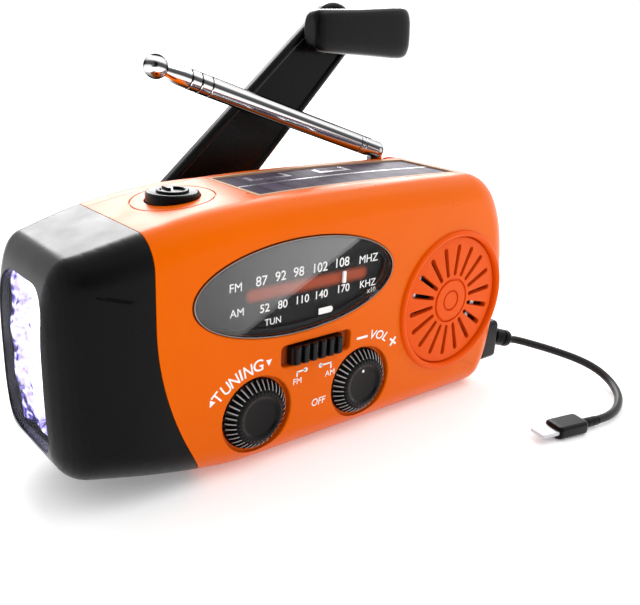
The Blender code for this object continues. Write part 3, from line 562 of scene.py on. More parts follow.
def smooth_route(points, spacing):
    """Evenly spaced points of a Catmull-Rom curve through the route."""
    points = [Vector(p) for p in points]
    first, last = points[0] * 2 - points[1], points[-1] * 2 - points[-2]
    chain = [first] + points + [last]
    dense = []
    for i in range(1, len(chain) - 2):
        a, b, c, d = chain[i - 1 : i + 3]
        for k in range(12):
            t = k / 12
            dense.append(
                0.5
                * (
                    2 * b
                    + (c - a) * t
                    + (2 * a - 5 * b + 4 * c - d) * t * t
                    + (3 * b - a - 3 * c + d) * t**3
                )
            )
    dense.append(points[-1])
    total = sum((q - p).length for p, q in zip(dense, dense[1:]))
    count = max(2, round(total / spacing))
    result, walked, target = [dense[0]], 0.0, total / count
    for p, q in zip(dense, dense[1:]):
        step = (q - p).length
        while walked + step >= target - 1e-9 and len(result) < count:
            result.append(p.lerp(q, (target - walked) / step))
            target += total / count
        walked += step
    result.append(dense[-1])
    return result


cable_points = smooth_route(ROUTE, 1.6)
line = bpy.data.curves.new("charging_lead", "CURVE")
line.dimensions = "3D"
line.bevel_depth = CABLE_R * MM * SIZE
line.bevel_resolution = 5
line.use_fill_caps = True
strand = line.splines.new("POLY")
strand.points.add(len(cable_points) - 1)
for slot, p in zip(strand.points, cable_points):
    slot.co = (*(ROW @ (p * MM)), 1)
lead = bpy.data.objects.new("charging_lead", line)
scene.collection.objects.link(lead)
lead.data.materials.append(RUBBER)
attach(lead, "case")
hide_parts("usb_cable")


# ---------------------------------------------------------------- shape tools


def made(name, bm):
    bmesh.ops.remove_doubles(bm, verts=bm.verts, dist=1e-7)
    bmesh.ops.recalc_face_normals(bm, faces=bm.faces)
    mesh = bpy.data.meshes.new(name)
    bm.to_mesh(mesh)
    bm.free()
    obj = bpy.data.objects.new(name, mesh)
    scene.collection.objects.link(obj)
    return obj


def rings(loops, name="cutter"):
    """A solid through closed loops of points, all with the same count, capped at both ends."""
    bm = bmesh.new()
    rows = [[bm.verts.new(Vector(p) * MM) for p in loop] for loop in loops]
    for one, other in zip(rows, rows[1:]):
        count = len(one)
        for i in range(count):
            j = (i + 1) % count
            bm.faces.new((one[i], one[j], other[j], other[i]))
    bm.faces.new(rows[0])
    bm.faces.new(rows[-1])
    return made(name, bm)


def place(axis, u, v, w):
    return {"x": (w, u, v), "y": (u, w, v), "z": (u, v, w)}[axis]


def prism(points, low, high, axis="y", name="cutter"):
    return rings([[place(axis, u, v, w) for u, v in points] for w in (low, high)], name)


def box(x0, x1, y0, y1, z0, z1, name="cutter"):
    return prism([(x0, z0), (x1, z0), (x1, z1), (x0, z1)], y0, y1, "y", name)


def ellipse(cu, cv, a, b, count=32):
    return [
        (
            cu + a * math.cos(2 * math.pi * i / count),
            cv + b * math.sin(2 * math.pi * i / count),
        )
        for i in range(count)
    ]


def round_rect(u0, u1, v0, v1, r, steps=3):
    points = []
    for cu, cv, start in (
        (u1 - r, v1 - r, 0),
        (u0 + r, v1 - r, 90),
        (u0 + r, v0 + r, 180),
        (u1 - r, v0 + r, 270),
    ):
        for i in range(steps + 1):
            a = math.radians(start + 90 * i / steps)
            points.append((cu + r * math.cos(a), cv + r * math.sin(a)))
    return points


def cylinder(u, v, r, low, high, axis="y", count=48, name="cutter"):
    return prism(ellipse(u, v, r, r, count), low, high, axis, name)


def lathe(profile, u=0.0, v=0.0, axis="y", count=64, name="cutter"):
    """Turns (position along the axis, radius) pairs; a radius of 0 closes the end, and a profile that returns to its start makes a tube."""
    bm = bmesh.new()
    rows = []
    for w, r in profile:
        if r <= 0:
            rows.append([bm.verts.new(Vector(place(axis, u, v, w)) * MM)])
        else:
            rows.append(
                [
                    bm.verts.new(Vector(place(axis, a, b, w)) * MM)
                    for a, b in ellipse(u, v, r, r, count)
                ]
            )
    pairs = list(zip(rows, rows[1:]))
    if len(rows[0]) > 1 and len(rows[-1]) > 1:
        pairs.append((rows[-1], rows[0]))
    for one, other in pairs:
        for i in range(count):
            j = (i + 1) % count
            loop = [one[i % len(one)], one[j % len(one)], other[j % len(other)], other[i % len(other)]]
            corners = list(dict.fromkeys(loop))
            if len(corners) > 2:
                bm.faces.new(corners)
    return made(name, bm)


def combine(target, tool, operation):
    step = target.modifiers.new("step", "BOOLEAN")
    step.operation = operation
    step.solver = "MANIFOLD"
    step.object = tool
    bpy.context.view_layer.update()
    graph = bpy.context.evaluated_depsgraph_get()
    mesh = bpy.data.meshes.new_from_object(target.evaluated_get(graph))
    target.modifiers.clear()
    target.data = mesh
    bpy.data.objects.remove(tool, do_unlink=True)
    return target


def cut(target, *tools):
    for tool in tools:
        combine(target, tool, "DIFFERENCE")
    return target


def join(target, *tools):
    for tool in tools:
        combine(target, tool, "UNION")
    return target


def keep(target, tool):
    return combine(target, tool, "INTERSECT")


def copied(obj):
    other = obj.copy()
    other.data = obj.data.copy()
    scene.collection.objects.link(other)
    return other


def merged(name, parts):
    """Several closed meshes as one object."""
    bm = bmesh.new()
    for part in parts:
        bm.from_mesh(part.data)
        bpy.data.objects.remove(part, do_unlink=True)
    mesh = bpy.data.meshes.new(name)
    bm.to_mesh(mesh)
    bm.free()
    obj = bpy.data.objects.new(name, mesh)
    scene.collection.objects.link(obj)
    return obj


def piece(obj, name, material, body, replaced=(), angle=32, weighted=True):
    """Names and finishes a mesh, and sets what it rides on and which CAD nodes it stands for."""
    obj.name = name
    obj.data.name = name
    obj.data.transform(ROW)
    obj.data.materials.clear()
    obj.data.materials.append(material)
    obj.data.shade_smooth()
    obj.data.set_sharp_from_angle(angle=math.radians(angle))
    if weighted:
        modifier = obj.modifiers.new("weighted", "WEIGHTED_NORMAL")
        modifier.keep_sharp = True
    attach(obj, body)
    if replaced:
        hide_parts(*replaced)
    return obj


def in_frame(obj, origin, x_axis, y_axis):
    """Moves a mesh modelled in a joint's own frame, millimetres from its origin, to the row frame."""
    x, y = Vector(x_axis).normalized(), Vector(y_axis).normalized()
    turned = Matrix((x, y, x.cross(y))).transposed().to_4x4()
    obj.data.transform(Matrix.Translation(Vector(origin) * MM) @ turned)
    return obj


# ---------------------------------------------------------------- case shape

HALF_DEPTH = 24.35
EDGE_R = 8.5
WALL = 2.2
PART_Y = 12.9
NOSE_X = -50.0
NOSE_END_X = -79.4
NOSE_NARROW = 0.273
CAP_X = -53.4
CAP_SWEEP = 13.2
CAP_SWEEP_Z = 45.0
OUTLINE = (
    (70.5, -4.0, 0, 5),
    (82.4, 16.5, 83.4, 2),
    (84.65, 29.6, 92.6, 3),
    (81.8, 51.5, 104.8, 6),
    (63.3, 71.63, 178, 3),
    (19.0, 72.49, 180, 6),
    (-52.5, 67.54, 192.5, 2),
    (-70.6, 63.0, 193, 5),
    (-76.9, 53.6, 258, 3),
    (-78.34, 33.0, 270, 3),
    (-77.35, 12.5, 279, 5),
    (-69.8, 3.9, 352, 4),
    (-22.0, -4.0, 360, 1),
)
FRONT_Y = -HALF_DEPTH
GAP = 0.3
SPEAKER = (55.1, 31.3)
GRILLE_R = 21.6
TUNING = (-22.6, 12.2)
VOLUME = (16.1, 12.2)
KNOB_WELL_R = 11.6
DIAL = (-8.35, 47.9)
DIAL_A, DIAL_B = 34.7, 13.7
BAND_SLOT = (-14.8, 10.8, 24.4, 31.0)
BAND_SLIDER = (-11.8, 6.8)
TORCH_BUTTON = (-34.6, 0.0)
BUTTON_R = 7.3
BUTTON_TOP = 72.8
PANEL = (-16.7, 63.3, -14.7, 11.8)
ANT = Vector((55.6, 17.5, 74.6))
ANT_TILT = math.radians(18.4)
ANT_R = 3.1
ANT_TIP = 89.4
HUB = Vector((-38.0, 28.5, 35.8))
HUB_R = 11.4
CRANK_ANGLE = math.radians(41.3)
CRANK_TILT = math.radians(4.0)
CRANK_R = 116.6
ARM_HALF_T = 2.2
POCKET = (32.0, 90.0, 26.3, 45.3)
POCKET_FLOOR = 15.3
DOOR = (12.0, 58.0, -6.0, 12.0)
SCREWS = ((-37.5, 8.6), (-47.0, 61.0), (72.0, 20.0), (65.0, 60.5))
PLUG_Y = -16.5
PLUG_Z = 9.0
LENS = (-13.2, 13.2, 10.5, 55.5)


def outline(fine=1):
    """Points of the case outline with their outward normals."""
    points = []
    for i, (x0, z0, a0, steps) in enumerate(OUTLINE):
        x1, z1, a1, _ = OUTLINE[(i + 1) % len(OUTLINE)]
        t0, t1 = math.radians(a0), math.radians(a1)
        turn = (t1 - t0) % (2 * math.pi)
        chord = math.hypot(x1 - x0, z1 - z0)
        h = chord / 3
        if 0.02 < turn < 3:
            h = 4 / 3 * math.tan(turn / 4) * chord / (2 * math.sin(turn / 2))
        p = (
            Vector((x0, z0)),
            Vector((x0 + h * math.cos(t0), z0 + h * math.sin(t0))),
            Vector((x1 - h * math.cos(t1), z1 - h * math.sin(t1))),
            Vector((x1, z1)),
        )
        steps = steps * fine if i < len(OUTLINE) - 1 else 1
        for k in range(steps):
            t = k / steps
            at = (
                p[0] * (1 - t) ** 3
                + p[1] * 3 * t * (1 - t) ** 2
                + p[2] * 3 * t * t * (1 - t)
                + p[3] * t**3
            )
            way = (
                (p[1] - p[0]) * (1 - t) ** 2
                + (p[2] - p[1]) * 2 * t * (1 - t)
                + (p[3] - p[2]) * t * t
            ).normalized()
            points.append((at, Vector((way.y, -way.x))))
    return points


TOP_LINE = [at for at, normal in outline(6) if normal.y > 0.2]


def top_z(x):
    """Height of the case's top at x, on its middle."""
    for p, q in zip(TOP_LINE, TOP_LINE[1:]):
        if q.x <= x <= p.x:
            return q.y + (p.y - q.y) * (x - q.x) / (p.x - q.x)
    return 60.0


def narrow(x):
    t = min(max((NOSE_X - x) / (NOSE_X - NOSE_END_X), 0), 1.1)
    return 1 - NOSE_NARROW * t * t


def case_solid(inset=0.0, steps=3, fine=1):
    """The case's outer form, drawn in by inset, with rounded front and rear edges."""
    shape = outline(fine)
    r = EDGE_R - inset
    loops = []
    for side in (-1, 1):
        angles = [math.radians(90 * i / steps) for i in range(steps + 1)]
        for a in reversed(angles) if side < 0 else angles:
            off = inset + r * (1 - math.cos(a))
            y = side * (HALF_DEPTH - inset - r * (1 - math.sin(a)))
            loops.append([(p.x - n.x * off, y, p.y - n.y * off) for p, n in shape])
    if fine > 1:
        # an inner ring on each flat face keeps its middle clear of the nose's edge
        for at in (0, -1):
            ring = [(5 + (x - 5) * 0.86, y, 33 + (z - 33) * 0.86) for x, y, z in loops[at]]
            loops = [ring] + loops if at == 0 else loops + [ring]
    solid = rings(loops)
    bm = bmesh.new()
    bm.from_mesh(solid.data)
    planes = (-50, -57, -63, -67, -74) if fine == 1 else [-50 - 1.6 * k for k in range(18) if k != 12]
    for x in planes:
        bmesh.ops.bisect_plane(
            bm,
            geom=bm.verts[:] + bm.edges[:] + bm.faces[:],
            plane_co=((x + 0.37 * inset) * MM, 0, 0),
            plane_no=(1, 0, 0),
            dist=1e-7,
        )
    if fine > 1:
        bmesh.ops.triangulate(bm, faces=bm.faces[:])
    for v in bm.verts:
        v.co.y *= narrow(v.co.x / MM)
    bm.to_mesh(solid.data)
    bm.free()
    return solid


def cap_edge(z):
    return CAP_X + CAP_SWEEP * max(0.0, (CAP_SWEEP_Z - z) / CAP_SWEEP_Z) ** 2


def nose_side(offset):
    """Everything on the torch side of the nose cap's edge."""
    zs = [-8, -4] + [45 * k / 24 for k in range(25)] + [90]
    edge = [(cap_edge(z) + offset, z) for z in zs]
    return prism(edge + [(-110, 90), (-110, -8)], -60, 60)


def mouth(shape, inner, r, steps=5):
    """Cutter into the front face down to inner; shape(grow) is its outline, and its mouth is rounded by r."""
    loops = [[(u, -40.0, v) for u, v in shape(r)], [(u, FRONT_Y - 0.02, v) for u, v in shape(r)]]
    for k in range(steps + 1):
        a = math.radians(90 * (0.06 + 0.94 * k / steps))
        loops.append([(u, FRONT_Y + r * (1 - math.cos(a)), v) for u, v in shape(r * (1 - math.sin(a)))])
    loops.append([(u, inner, v) for u, v in shape(0.0)])
    return rings(loops)


STEPS, FINE = 10, 3

cavity = case_solid(WALL, 2)
roof = box(PANEL[0] - 3, PANEL[1] + 2, PANEL[2] - 3, PART_Y - 0.15, 60, 90)
cut(roof, case_solid(4.0, 2))
cut(cavity, roof)
cut(
    cavity,
    cylinder(*TUNING, 13.2, -30, -20.2, "y", 24),
    cylinder(*VOLUME, 13.2, -30, -20.2, "y", 24),
    box(BAND_SLOT[0] - 2, BAND_SLOT[1] + 2, -30, -20.4, BAND_SLOT[2] - 2, BAND_SLOT[3] + 2),
    cylinder(HUB.x, HUB.z, 13.9, 18.4, 30, "y", 24),
    box(POCKET[0] - 2, 90, 8, 30, POCKET[2] - 2, POCKET[3] + 2),
    box(-43, 66, 12, 30, 68.2, 90),
    cylinder(ANT.x, ANT.y, 6.2, 62.5, 90, "z", 16),
    box(77.2, 94, -21.8, -11.2, -9, 17.7),
)
for x, z in SCREWS[:2]:
    cut(cavity, cylinder(x, z, 3.3, -30, 30, "y", 12))
for x, z in SCREWS[2:]:
    cut(cavity, cylinder(x, z, 3.3, 2, 30, "y", 12), box(x, 90, 2.2, 30, z - 1, z + 1))
join(cavity, box(POCKET[0] - 3, 74, 2, PART_Y - 0.15, POCKET[2] - 3, POCKET[3] + 3))

hollow = case_solid(0, STEPS, FINE)
cut(hollow, cavity)

whole = copied(hollow)
cut(whole, nose_side(0.12))
front = copied(whole)
cut(front, box(-120, 120, PART_Y - 0.1, 60, -20, 120))
rear = whole
cut(rear, box(-120, 120, -60, PART_Y + 0.1, -20, 120))
cap = hollow
keep(cap, nose_side(-0.12))


def dial_shape(grow):
    return ellipse(*DIAL, DIAL_A + 0.12 + grow, DIAL_B + 0.12 + grow, 96)


def well_shape(centre):
    return lambda grow: ellipse(*centre, KNOB_WELL_R + grow, KNOB_WELL_R + grow, 72)


def slot_shape(grow):
    return round_rect(
        BAND_SLOT[0] - grow, BAND_SLOT[1] + grow, BAND_SLOT[2] - grow, BAND_SLOT[3] + grow, 1.4 + grow, 4
    )


cut(
    front,
    mouth(dial_shape, -22.8, 0.45),
    prism(ellipse(*DIAL, DIAL_A - 1.6, DIAL_B - 1.6, 64), -40, -15),
    mouth(well_shape(TUNING), -HALF_DEPTH + 2.0, 0.5),
    mouth(well_shape(VOLUME), -HALF_DEPTH + 2.0, 0.5),
    cylinder(*TUNING, 3.4, -40, -15, "y", 16),
    cylinder(*VOLUME, 3.4, -40, -15, "y", 16),
    mouth(slot_shape, -22.2, 0.4),
    box(BAND_SLIDER[0] + 1.2, BAND_SLIDER[1] + 1.6, -40, -15, 26.2, 29.2),
    cylinder(*SPEAKER, GRILLE_R + GAP, -40, -10, "y", 96),
    cylinder(*TORCH_BUTTON, BUTTON_R + 0.35, 60, 90, "z", 64),
    prism(round_rect(79.8, 95, 0.9, 17.1, 0.01, 1), PLUG_Y - 4.9, PLUG_Y + 4.9),
    box(64.6, 95, PLUG_Y - 3.1, PLUG_Y + 3.1, PLUG_Z - 6.6, PLUG_Z + 6.6),
)
bed = box(PANEL[0] - GAP, PANEL[1] + GAP, PANEL[2] - GAP, PANEL[3] + GAP, 60, 90)
cut(bed, case_solid(2.0, STEPS, FINE))
cut(front, bed)
cut(front, box(DOOR[0] - GAP, DOOR[1] + GAP, DOOR[2] - GAP, DOOR[3] + GAP, -9, 1))
for x, z in SCREWS:
    cut(front, cylinder(x, z, 1.7, 4, 20, "y", 12))
# fine groove round the button
groove = lathe([(55, 11.15), (90, 11.15), (90, 11.65), (55, 11.65)], *TORCH_BUTTON, "z", 96)
cut(groove, case_solid(0.5, STEPS, FINE))
cut(front, groove)

cut(
    rear,
    cylinder(HUB.x, HUB.z, HUB_R + 0.5, 20.3, 60, "y", 64),
    cylinder(HUB.x, HUB.z, 4.4, 10, 60, "y", 24),
    prism(round_rect(POCKET[0], POCKET[1], POCKET[2], POCKET[3], 3, 6), POCKET_FLOOR, 60),
    box(-39, ANT.x + 6.5, ANT.y - ANT_R - 0.6, ANT.y + ANT_R + 0.6, 70.3, 90),
    cylinder(ANT.x, ANT.y, 4.7, 65.0, 90, "z", 40),
)
for x, z in SCREWS:
    cut(rear, cylinder(x, z, 1.8, 4, 40, "y", 16), cylinder(x, z, 3.0, 20.6, 40, "y", 24))
cut(cap, prism(round_rect(*LENS, 7, 8), -100, -66, "x"))

piece(front, "front_shell_body", ORANGE, "case", ["front_shell"])
piece(rear, "rear_shell_body", ORANGE, "case", ["rear_shell"])
piece(cap, "nose_cap_body", SATIN, "case", ["nose_cap"])

# ---------------------------------------------------------------- torch

lens = prism(round_rect(LENS[0] + GAP, LENS[1] - GAP, LENS[2] + GAP, LENS[3] - GAP, 6.7, 8), -100, -60, "x")
keep(lens, case_solid(0.5, STEPS, FINE))
cut(lens, case_solid(1.9, STEPS, FINE))
cut(lens, box(-72, 0, -60, 60, -10, 100))
piece(lens, "torch_lens_clear", LENS_CLEAR, "case", ["torch_lens"])


def reflector_depth(y, z):
    """How far into the nose the reflector lies at y, z: three bowls, with ridges between them."""
    apart = min(math.hypot(y * 0.92, z - level) for level in LED_Z)
    bowl = max(-67.2 - 0.12 * apart * apart, -73.2)
    behind_lens = -75.7 + 0.0036 * (z - 33.0) ** 2
    share = min(max((abs(y) - 8.0) / 4.4, 0.0), 1.0)
    return bowl * (1 - share) + behind_lens * share


def build_reflector():
    bm = bmesh.new()
    y0, y1, z0, z1 = LENS[0] + 0.5, LENS[1] - 0.5, LENS[2] + 0.6, LENS[3] - 0.6
    across, up = 14, 24
    shell = []
    for k, deep in ((0, True), (1, False)):
        grid = []
        for i in range(up + 1):
            row = []
            for j in range(across + 1):
                y = y0 + (y1 - y0) * j / across
                z = z0 + (z1 - z0) * i / up
                if 0 < i < up and 0 < j < across and deep:
                    y += 0.42 * math.sin(7.3 * i + 3.1 * j)
                    z += 0.42 * math.sin(4.9 * i + 8.7 * j)
                x = reflector_depth(y, z) if deep else -59.9
                if deep:
                    x += 0.30 * math.sin(11.7 * i + 5.3 * j)
                row.append(bm.verts.new(Vector((x, y, z)) * MM))
            grid.append(row)
        shell.append(grid)
    for k, grid in enumerate(shell):
        for i in range(up):
            for j in range(across):
                a, b, c, d = grid[i][j], grid[i][j + 1], grid[i + 1][j + 1], grid[i + 1][j]
                if (i + j) % 2:
                    bm.faces.new((a, b, c))
                    bm.faces.new((a, c, d))
                else:
                    bm.faces.new((a, b, d))
                    bm.faces.new((b, c, d))
    one, other = shell
    border = (
        [(0, j) for j in range(across + 1)]
        + [(i, across) for i in range(1, up + 1)]
        + [(up, j) for j in range(across - 1, -1, -1)]
        + [(i, 0) for i in range(up - 1, 0, -1)]
    )
    for (a, b), (c, d) in zip(border, border[1:] + border[:1]):
        bm.faces.new((one[a][b], one[c][d], other[c][d], other[a][b]))
    return made("reflector", bm)


reflector = build_reflector()
for level in LED_Z:
    cut(reflector, cylinder(0, level, 2.6, -75, -50, "x", 24))
piece(reflector, "torch_reflector_faceted", REFLECTOR, "case", ["torch_reflector"], angle=3, weighted=False)
for i, level in enumerate(LED_Z):
    dome = [(-68.0, 0.0)] + [
        (-65.6 - 2.4 * math.cos(math.radians(a)), 2.4 * math.sin(math.radians(a))) for a in range(12, 91, 13)
    ]
    lamp = lathe(dome + [(-59.6, 2.4), (-59.6, 0)], 0, level, "x", 32)
    piece(lamp, f"torch_lamp_{i + 1}", LED, "case", [f"torch_led_{i + 1}"])

# ---------------------------------------------------------------- dial

window = rings(
    [
        [(u, y, v) for u, v in ellipse(*DIAL, DIAL_A - k, DIAL_B - k, 96)]
        for y, k in ((-24.6, 1.3), (-24.55, 0.9), (-24.4, 0.62), (-24.1, 0.55), (-23.1, 0.55))
    ]
)
piece(window, "dial_window_clear", WINDOW, "case", ["dial_window"])
rim_bm = bmesh.new()
rim_rows = []
for y, k in ((-23.2, 0.02), (-24.3, 0.02), (-24.62, 0.14), (-24.66, 0.24), (-24.62, 0.36), (-24.3, 0.46), (-23.2, 0.46)):
    rim_rows.append([rim_bm.verts.new(Vector((u, y, v)) * MM) for u, v in ellipse(*DIAL, DIAL_A - k, DIAL_B - k, 96)])
for one, other in zip(rim_rows, rim_rows[1:] + rim_rows[:1]):
    for i in range(96):
        j = (i + 1) % 96
        rim_bm.faces.new((one[i], one[j], other[j], other[i]))
piece(made("rim", rim_bm), "dial_rim_ring", RIM, "case")
mask_bm = bmesh.new()
mask_rows = []
for y, k in ((-22.86, 0.48), (-22.96, 0.48), (-22.96, 2.2), (-22.86, 2.2)):
    mask_rows.append([mask_bm.verts.new(Vector((u, y, v)) * MM) for u, v in ellipse(*DIAL, DIAL_A - k, DIAL_B - k, 96)])
for one, other in zip(mask_rows, mask_rows[1:] + mask_rows[:1]):
    for i in range(96):
        j = (i + 1) % 96
        mask_bm.faces.new((one[i], one[j], other[j], other[i]))
piece(made("mask", mask_bm), "dial_mask_ring", DIAL_BACK, "case", ())
plate = prism(ellipse(*DIAL, DIAL_A + 0.8, DIAL_B + 0.8, 96), -21.7, -20.9)
piece(plate, "dial_plate_printed", DIAL_BACK, "case", ["dial_plate"])


def behind(x, z, y):
    """A point on the plane at y that the eye sees in front of (x, z) of the front face."""
    share = (y - FRONT_Y) / (FRONT_Y - EYE.y)
    return x + (x - EYE.x) * share, z + (z - EYE.z) * share


POINTER_X, POINTER_Z = 8.8, (45.1, 48.7)
pointer_loops = []
for y, k in ((-22.6, 0.12), (-22.5, 0.0), (-22.0, 0.0)):
    pointer_loops.append(
        [(u, y, v) for u, v in round_rect(POINTER_X - 0.6 + k, POINTER_X + 0.6 - k, POINTER_Z[0] + k, POINTER_Z[1] - k, 0.25, 3)]
    )
piece(rings(pointer_loops), "dial_pointer_bar", POINTER, "pointer", ["dial_pointer"])


def glyphs(text, height, x, z, low, high, turn=0.0, width=None, weight=0.012, slant=0.0):
    """Flat raised lettering of a given cap height, centred at x, z, between two depths, turned by degrees."""
    curve = bpy.data.curves.new("text", "FONT")
    curve.body = text
    curve.size = 1.0
    curve.extrude = 0.5
    curve.offset = weight
    curve.shear = slant
    curve.resolution_u = 6
    holder = bpy.data.objects.new("text", curve)
    scene.collection.objects.link(holder)
    bpy.context.view_layer.update()
    mesh = bpy.data.meshes.new_from_object(holder.evaluated_get(bpy.context.evaluated_depsgraph_get()))
    bpy.data.objects.remove(holder, do_unlink=True)
    obj = bpy.data.objects.new("glyphs", mesh)
    scene.collection.objects.link(obj)
    xs = [v.co.x for v in mesh.vertices]
    ys = [v.co.y for v in mesh.vertices]
    tall = height / (max(ys) - min(ys))
    wide = width / (max(xs) - min(xs)) if width else tall
    mid_x, mid_y = (max(xs) + min(xs)) / 2, (max(ys) + min(ys)) / 2
    c, s = math.cos(math.radians(turn)), math.sin(math.radians(turn))
    for v in mesh.vertices:
        u, w = (v.co.x - mid_x) * wide, (v.co.y - mid_y) * tall
        depth = low if v.co.z > 0 else high
        v.co = Vector((x + u * c - w * s, depth, z + u * s + w * c)) * MM
    return obj


def cleaned(obj):
    """Closes lettering into solids: fill-facing sides joined, normals outward."""
    bm = bmesh.new()
    bm.from_mesh(obj.data)
    bmesh.ops.remove_doubles(bm, verts=bm.verts, dist=2e-7)
    bmesh.ops.recalc_face_normals(bm, faces=bm.faces)
    bm.to_mesh(obj.data)
    bm.free()
    return obj


INK_Y = (-23.06, -22.98)
dial_print = []
for text, height, x, z in (
    ("FM", 2.35, -30.4, 51.2),
    ("87", 2.75, -22.2, 51.7),
    ("92", 2.75, -15.95, 52.0),
    ("98", 2.75, -9.8, 52.2),
    ("102", 2.75, -2.05, 52.2),
    ("108", 2.75, 6.05, 52.4),
    ("MHZ", 2.4, 16.15, 52.0),
    ("AM", 2.2, -30.0, 44.2),
    ("52", 2.4, -21.0, 43.8),
    ("80", 2.4, -15.0, 43.8),
    ("110", 2.4, -8.0, 43.9),
    ("140", 2.4, -1.2, 44.1),
    ("170", 2.4, 7.0, 44.4),
    ("KHZ", 2.2, 16.45, 44.3),
    ("x10", 1.6, 18.0, 41.9),
    ("TUN", 1.9, -18.2, 39.5),
):
    dial_print.append(cleaned(glyphs(text, height, *behind(x, z, INK_Y[0]), *INK_Y, weight=0.004 if text.isdigit() else 0.0)))
pill_x, pill_z = behind(0.5, 38.95, INK_Y[0])
pill = [(pill_x - 2.6, pill_z - 0.95), (pill_x + 1.7, pill_z - 0.95)]
pill += [
    (pill_x + 1.7 + 0.95 * math.sin(math.radians(a)), pill_z - 0.95 * math.cos(math.radians(a))) for a in range(15, 180, 15)
]
pill += [(pill_x + 1.7, pill_z + 0.95), (pill_x - 2.6, pill_z + 0.95)]
dial_print.append(prism(pill, *INK_Y))
piece(merged("print", dial_print), "dial_numbers", WHITE_INK, "case", (), weighted=False)

# ---------------------------------------------------------------- lettering on the case

LABEL_Y = (FRONT_Y - 0.07, FRONT_Y + 0.05)
labels = []


def on_arc(text, centre, radius, degrees, height, weight=0.012, slant=0.0, width=None, share=1.0):
    a = math.radians(degrees)
    x, z = centre[0] + radius * math.cos(a), centre[1] + radius * math.sin(a)
    labels.append(cleaned(glyphs(text, height, x, z, *LABEL_Y, turn=share * (degrees - 90), weight=weight, slant=slant, width=width)))


for text, degrees, radius, width in (
    ("T", 145.6, 16.1, 2.7),
    ("U", 133.7, 15.3, 2.7),
    ("N", 122.2, 15.0, 2.9),
    ("I", 113.1, 15.0, 0.6),
    ("N", 103.6, 14.8, 2.9),
    ("G", 90.6, 15.2, 3.3),
):
    on_arc(text, TUNING, radius, degrees, 3.5, weight=0.008, width=width, share=0.8)
for text, degrees, radius in (("V", 74.5, 15.4), ("O", 64.4, 15.8), ("L", 54.4, 16.1)):
    on_arc(text, VOLUME, radius, degrees, 2.9, weight=0.008, slant=0.15)
labels.append(cleaned(glyphs("OFF", 2.3, -0.5, 10.4, *LABEL_Y, weight=0.004, width=5.2, slant=0.12)))
labels.append(cleaned(glyphs("FM", 1.8, -8.9, 19.1, *LABEL_Y, weight=0.0)))
labels.append(cleaned(glyphs("AM", 1.8, 3.3, 18.7, *LABEL_Y, weight=0.0)))
labels.append(prism(round_rect(13.4, 17.8, 26.75, 27.5, 0.1, 2), *LABEL_Y))


def flat_mark(points):
    labels.append(prism(points, *LABEL_Y))


def turned_points(points, x, z, degrees):
    c, s = math.cos(math.radians(degrees)), math.sin(math.radians(degrees))
    return [(x + u * c - w * s, z + u * s + w * c) for u, w in points]


PLUS = ((-1.7, -0.35), (-0.35, -0.35), (-0.35, -1.7), (0.35, -1.7), (0.35, -0.35), (1.7, -0.35), (1.7, 0.35), (0.35, 0.35), (0.35, 1.7), (-0.35, 1.7), (-0.35, 0.35), (-1.7, 0.35))
flat_mark(turned_points(PLUS, 28.9, 22.9, -40))
TRIANGLE = ((-0.95, -0.8), (0.95, -0.8), (0.0, 1.1))
flat_mark(turned_points(TRIANGLE, -37.8, 20.0, 150 - 90 + 90))
flat_mark(turned_points(TRIANGLE, -19.2, 27.5, 180))


def bent_arrow(dot, bend, end):
    """A dot, a bar to a corner and a leg down, as one flat mark each."""
    labels.append(prism(ellipse(*dot, 0.72, 0.72, 20), *LABEL_Y))
    for (x0, z0), (x1, z1) in ((dot, bend), (bend, end)):
        length = math.hypot(x1 - x0, z1 - z0)
        c, s = (x1 - x0) / length, (z1 - z0) / length
        w = 0.24
        points = [(-0.0, -w), (length + w, -w), (length + w, w), (0.0, w)]
        labels.append(prism([(x0 + u * c - v * s, z0 + u * s + v * c) for u, v in points], *LABEL_Y))


bent_arrow((-6.0, 22.0), (-9.1, 22.0), (-9.1, 20.7))
bent_arrow((-0.4, 21.9), (3.6, 21.9), (3.6, 20.3))
piece(merged("labels", labels), "case_lettering", WHITE_INK, "case", (), weighted=False)

# ---------------------------------------------------------------- knobs


